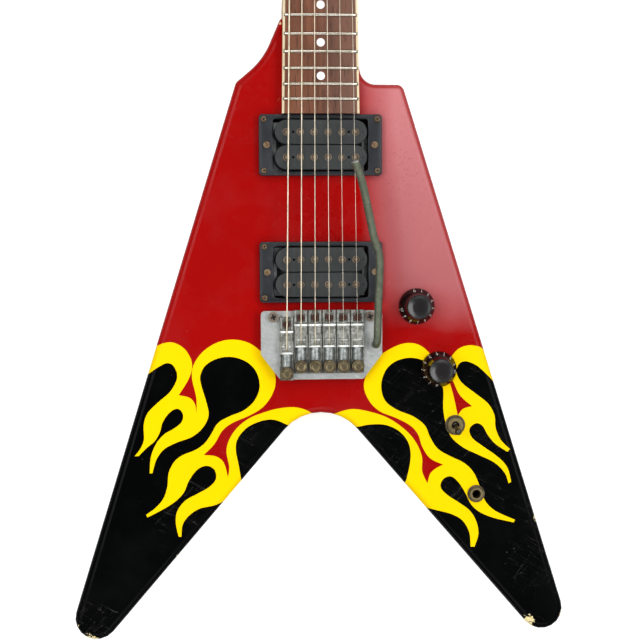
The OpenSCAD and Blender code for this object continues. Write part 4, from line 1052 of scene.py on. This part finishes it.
def saddle_module(i):
    """One saddle: clamp, ridge, ramp, cheeks beside the string, round barrel and tuner seat."""
    w = 4.95
    tall = 5.7
    parts = [chamfered(-w, w, -20, 27, 0, 2.4)]
    # the clamp at the front is open in the middle for its screw
    parts += [chamfered(x0, x1, 17.5, 27, 2.3, 3.5, 0.35) for x0, x1 in ((-w, -2.9), (2.9, w))]
    parts += [chamfered(-3.1, 3.1, 17.2, 18.6, 2.3, 3.3), chamfered(-3.1, -1.9, 24.4, 27, 2.3, 3.5),
              chamfered(1.9, 3.1, 24.4, 27, 2.3, 3.5)]
    parts.append(bar(-w + 0.5, w - 0.5, [(8.0, 2.3), (14.8, 2.3), (14.8, 3.6), (11.5, 3.2), (8.0, 4.0)]))
    # cheeks stand on each side of the string
    for sx in (-1, 1):
        parts.append(chamfered(*sorted((sx * w, sx * (w - 1.35))), 0.2, 9.2, 2.3, tall + 0.5, 0.4))
        parts.append(chamfered(*sorted((sx * w, sx * (w - 0.9))), -9.8, 0.2, 2.3, 3.4, 0.3))
    parts.append(bar(-w + 1.3, w - 1.3, hump(5.0, tall - STRING_R[i] - 0.15, 1.1)))
    parts.append(bar(-w + 1.3, w - 1.3, [(0.2, 2.3), (8.0, 2.3), (8.0, 4.0), (5.2, 4.6), (0.2, 3.4)]))
    crests = [bar(-w, w, ridge(15.9, 4.9, 0.8)), bar(-w + 0.1, w - 0.1, ridge(0.2, tall + 0.2, 0.62))]
    r = w - 0.95
    n = 19
    barrel = [(-9.9, 0.5), (-9.9, 1.0), (-9.2, 1.0), (-0.6, 1.0), (0.0, 0.9), (0.0, 0.5)]
    verts, faces = [], []
    for y, s in barrel:
        verts += [(r * s * math.cos(t), y, 1.9 + (r * s) * 0.92 * math.sin(t))
                  for t in np.linspace(-0.15, math.pi + 0.15, n)]
    faces = [(k * n + j, (k + 1) * n + j, (k + 1) * n + j + 1, k * n + j + 1)
             for k in range(len(barrel) - 1) for j in range(n - 1)]
    faces += [tuple(range(n)), tuple(range((len(barrel) - 1) * n, len(barrel) * n))[::-1]]
    back = BASS_SADDLE_BACK * (i == 0)
    placed = []
    for group in (parts, crests, [(verts, faces)]):
        verts, faces = merged(group)
        placed.append(([(x + (i - 2.5) * STRING_PITCH, y - back, z + PLATE_TOP) for x, y, z in verts], faces))
    return placed


# the crests take a brighter copy of the saddle steel: painted highlight along the ridges
crest_highlight = metal("crest_highlight", (0.80, 0.82, 0.80), (0.48, 0.49, 0.46), 0.34, 0.46, scale=300.0)
barrel_grey = metal("barrel_grey", (0.40, 0.425, 0.42), (0.15, 0.165, 0.155), 0.40, 0.56, tarnish=0.28,
                    stain=(0.22, 0.215, 0.18), scale=420.0)
modules = zip(*[saddle_module(i) for i in range(6)])
for name, group, look in zip(("saddle_modules", "saddle_crests", "saddle_barrels"), modules,
                             (saddle_steel, crest_highlight, barrel_grey)):
    saddles = piece(name, *merged(group), look, sharp=35, body="tremolo",
                    replaces=["saddles"] if name == "saddle_modules" else None)
post_rust = metal("post_steel", (0.34, 0.29, 0.24), (0.22, 0.17, 0.13), 0.34, 0.55, tarnish=0.45,
                  stain=(0.13, 0.075, 0.045), scale=240.0)
dress(post_rust, "pivot_posts", edge=0.25)


def cross(x, y, turn, sizes):
    """Two bars crossed at x, y for a screw's head, in the sizes that chamfered() takes."""
    bars = []
    for a in (turn, turn + math.pi / 2):
        verts, faces = chamfered(*sizes)
        bars.append(([(u * math.cos(a) - v * math.sin(a) + x, u * math.sin(a) + v * math.cos(a) + y, z)
                      for u, v, z in verts], faces))
    return bars


# dark crosses on the posts' heads: painted shade of their cross slots
POST_X, POST_Y = 35.8, 21.8
post_crosses = []
for side in (-1, 1):
    post_crosses += cross(side * POST_X, POST_Y, 0.5, (-2.3, 2.3, -0.5, 0.5, 50.3, 50.64, 0.05))
slot_shade = finish("slot_shade", Base_Color=(0.012, 0.008, 0.006), Roughness=0.8)[0]
piece("post_crosses", *merged(post_crosses), slot_shade, body="guitar")
# the lock screws are very dark: rust, with painted shade of the countersunk holes they sit in
lock_rust_and_shade = metal("lock_screw_rust_and_shade", (0.12, 0.06, 0.05), (0.06, 0.028, 0.022), 0.4, 0.6, tarnish=0.6,
                  stain=(0.05, 0.018, 0.012), scale=260.0)
dress(lock_rust_and_shade, "saddle_screws", edge=0.2)
dress(plated, "trem_block", "spring_claw")

arm_steel, root, shader, place = finish("arm_steel", Metallic=0.75)
mottled = noise(root, place, 190.0, 6.0, 0.7)
worn_tip = step(root, spot(root, place, (20.8, 134.5, 88.5), 5), 0.42, 0.50)
tone = blend_colour(root, step(root, mottled, 0.32, 0.70), (0.085, 0.100, 0.066), (0.165, 0.182, 0.130))
flecks = step(root, noise(root, place, 500.0, 4.0), 0.62, 0.74)
tone = blend_colour(root, flecks * 0.6, tone, (0.42, 0.43, 0.38))
root.put(shader.inputs["Base Color"], blend_colour(root, worn_tip * 0.8, tone, (0.55, 0.56, 0.54)))
root.put(shader.inputs["Roughness"], 0.46 + 0.18 * mottled - 0.2 * worn_tip)
bumped(root, shader, mottled, 0.3, 0.0002)
dress(arm_steel, "trem_arm")

for i in range(6):
    centre = ((i - 2.5) * STRING_PITCH, -14.6 - BASS_SADDLE_BACK * (i == 0), PLATE_TOP)
    knurled = lathe([(1.4, 0.3), (1.4, 3.2), (4.2, 3.2), (4.75, 3.5), (4.95, 3.9), (4.95, 7.3), (4.75, 7.8),
                     (4.3, 8.2), (3.75, 8.3), (3.6, 8.55), (3.62, 8.75), (3.3, 9.0), (2.9, 8.95),
                     (2.6, 8.7), (1.2, 8.75), (0.02, 8.8)], 88, centre,
                    wobble=lambda t, k: 1 - 0.030 * (3 < k < 7) * (math.cos(22 * t) > 0))
    tuner = piece(f"knurled_tuner_{i + 1}", *knurled, tarnished, sharp=45, body=f"fine_{i + 1}",
                  replaces=[f"fine_tuner_{i + 1}"])


# ---- Tremolo springs: three close coils of steel wire in the bay behind the pickups ----
# Each hooks into the block at one end and over the claw at the other.

COIL_START, COIL_END, COIL_Z = 15.0, 98.0, 9.5
COIL_R, COIL_TURNS, COIL_SIDES = 3.05, 34, 14
coils = []
for x in (-16, 0, 16):
    line = [(x, 8.5, COIL_Z), (x, 12.0, COIL_Z), (x, COIL_START - 0.4, COIL_Z)]
    for k in range(COIL_TURNS * COIL_SIDES + 1):
        t = 2 * math.pi * k / COIL_SIDES
        line.append((x + COIL_R * math.cos(t),
                     COIL_START + (COIL_END - COIL_START) * k / (COIL_TURNS * COIL_SIDES),
                     COIL_Z + COIL_R * math.sin(t)))
    line += [(x, COIL_END + 0.4, COIL_Z), (x, 103.0, COIL_Z), (x, 106.6, COIL_Z)]
    coils.append(swept(line, 0.55, 6))
springs = piece("spring_coils", *merged(coils), plated)
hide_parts("trem_springs")
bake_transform(springs)


# ---- Screws and strap button: wood screws through plated ferrules, and small cross-head screws ----
# The small ones hold the pickup frames and the back covers. Both kinds have gone brown with rust.

dress(rusty, "small_screws", "wood_screws", edge=0.12)
# dark crosses on the frame screws' heads: painted shade of their cross slots
crosses = []
for k, (x, y) in enumerate((x, pickup_y + y) for pickup_y in pickup_at for x, y in corner_screws):
    crosses += cross(x, y, 0.7 * k, (-1.35, 1.35, -0.26, 0.26, 46.0, 46.24, 0.03))
piece("screw_crosses", *merged(crosses), slot_shade, body="guitar")
dress(plated, "neck_ferrules", "strap_button", edge=0.25)

bpy.context.view_layer.update()
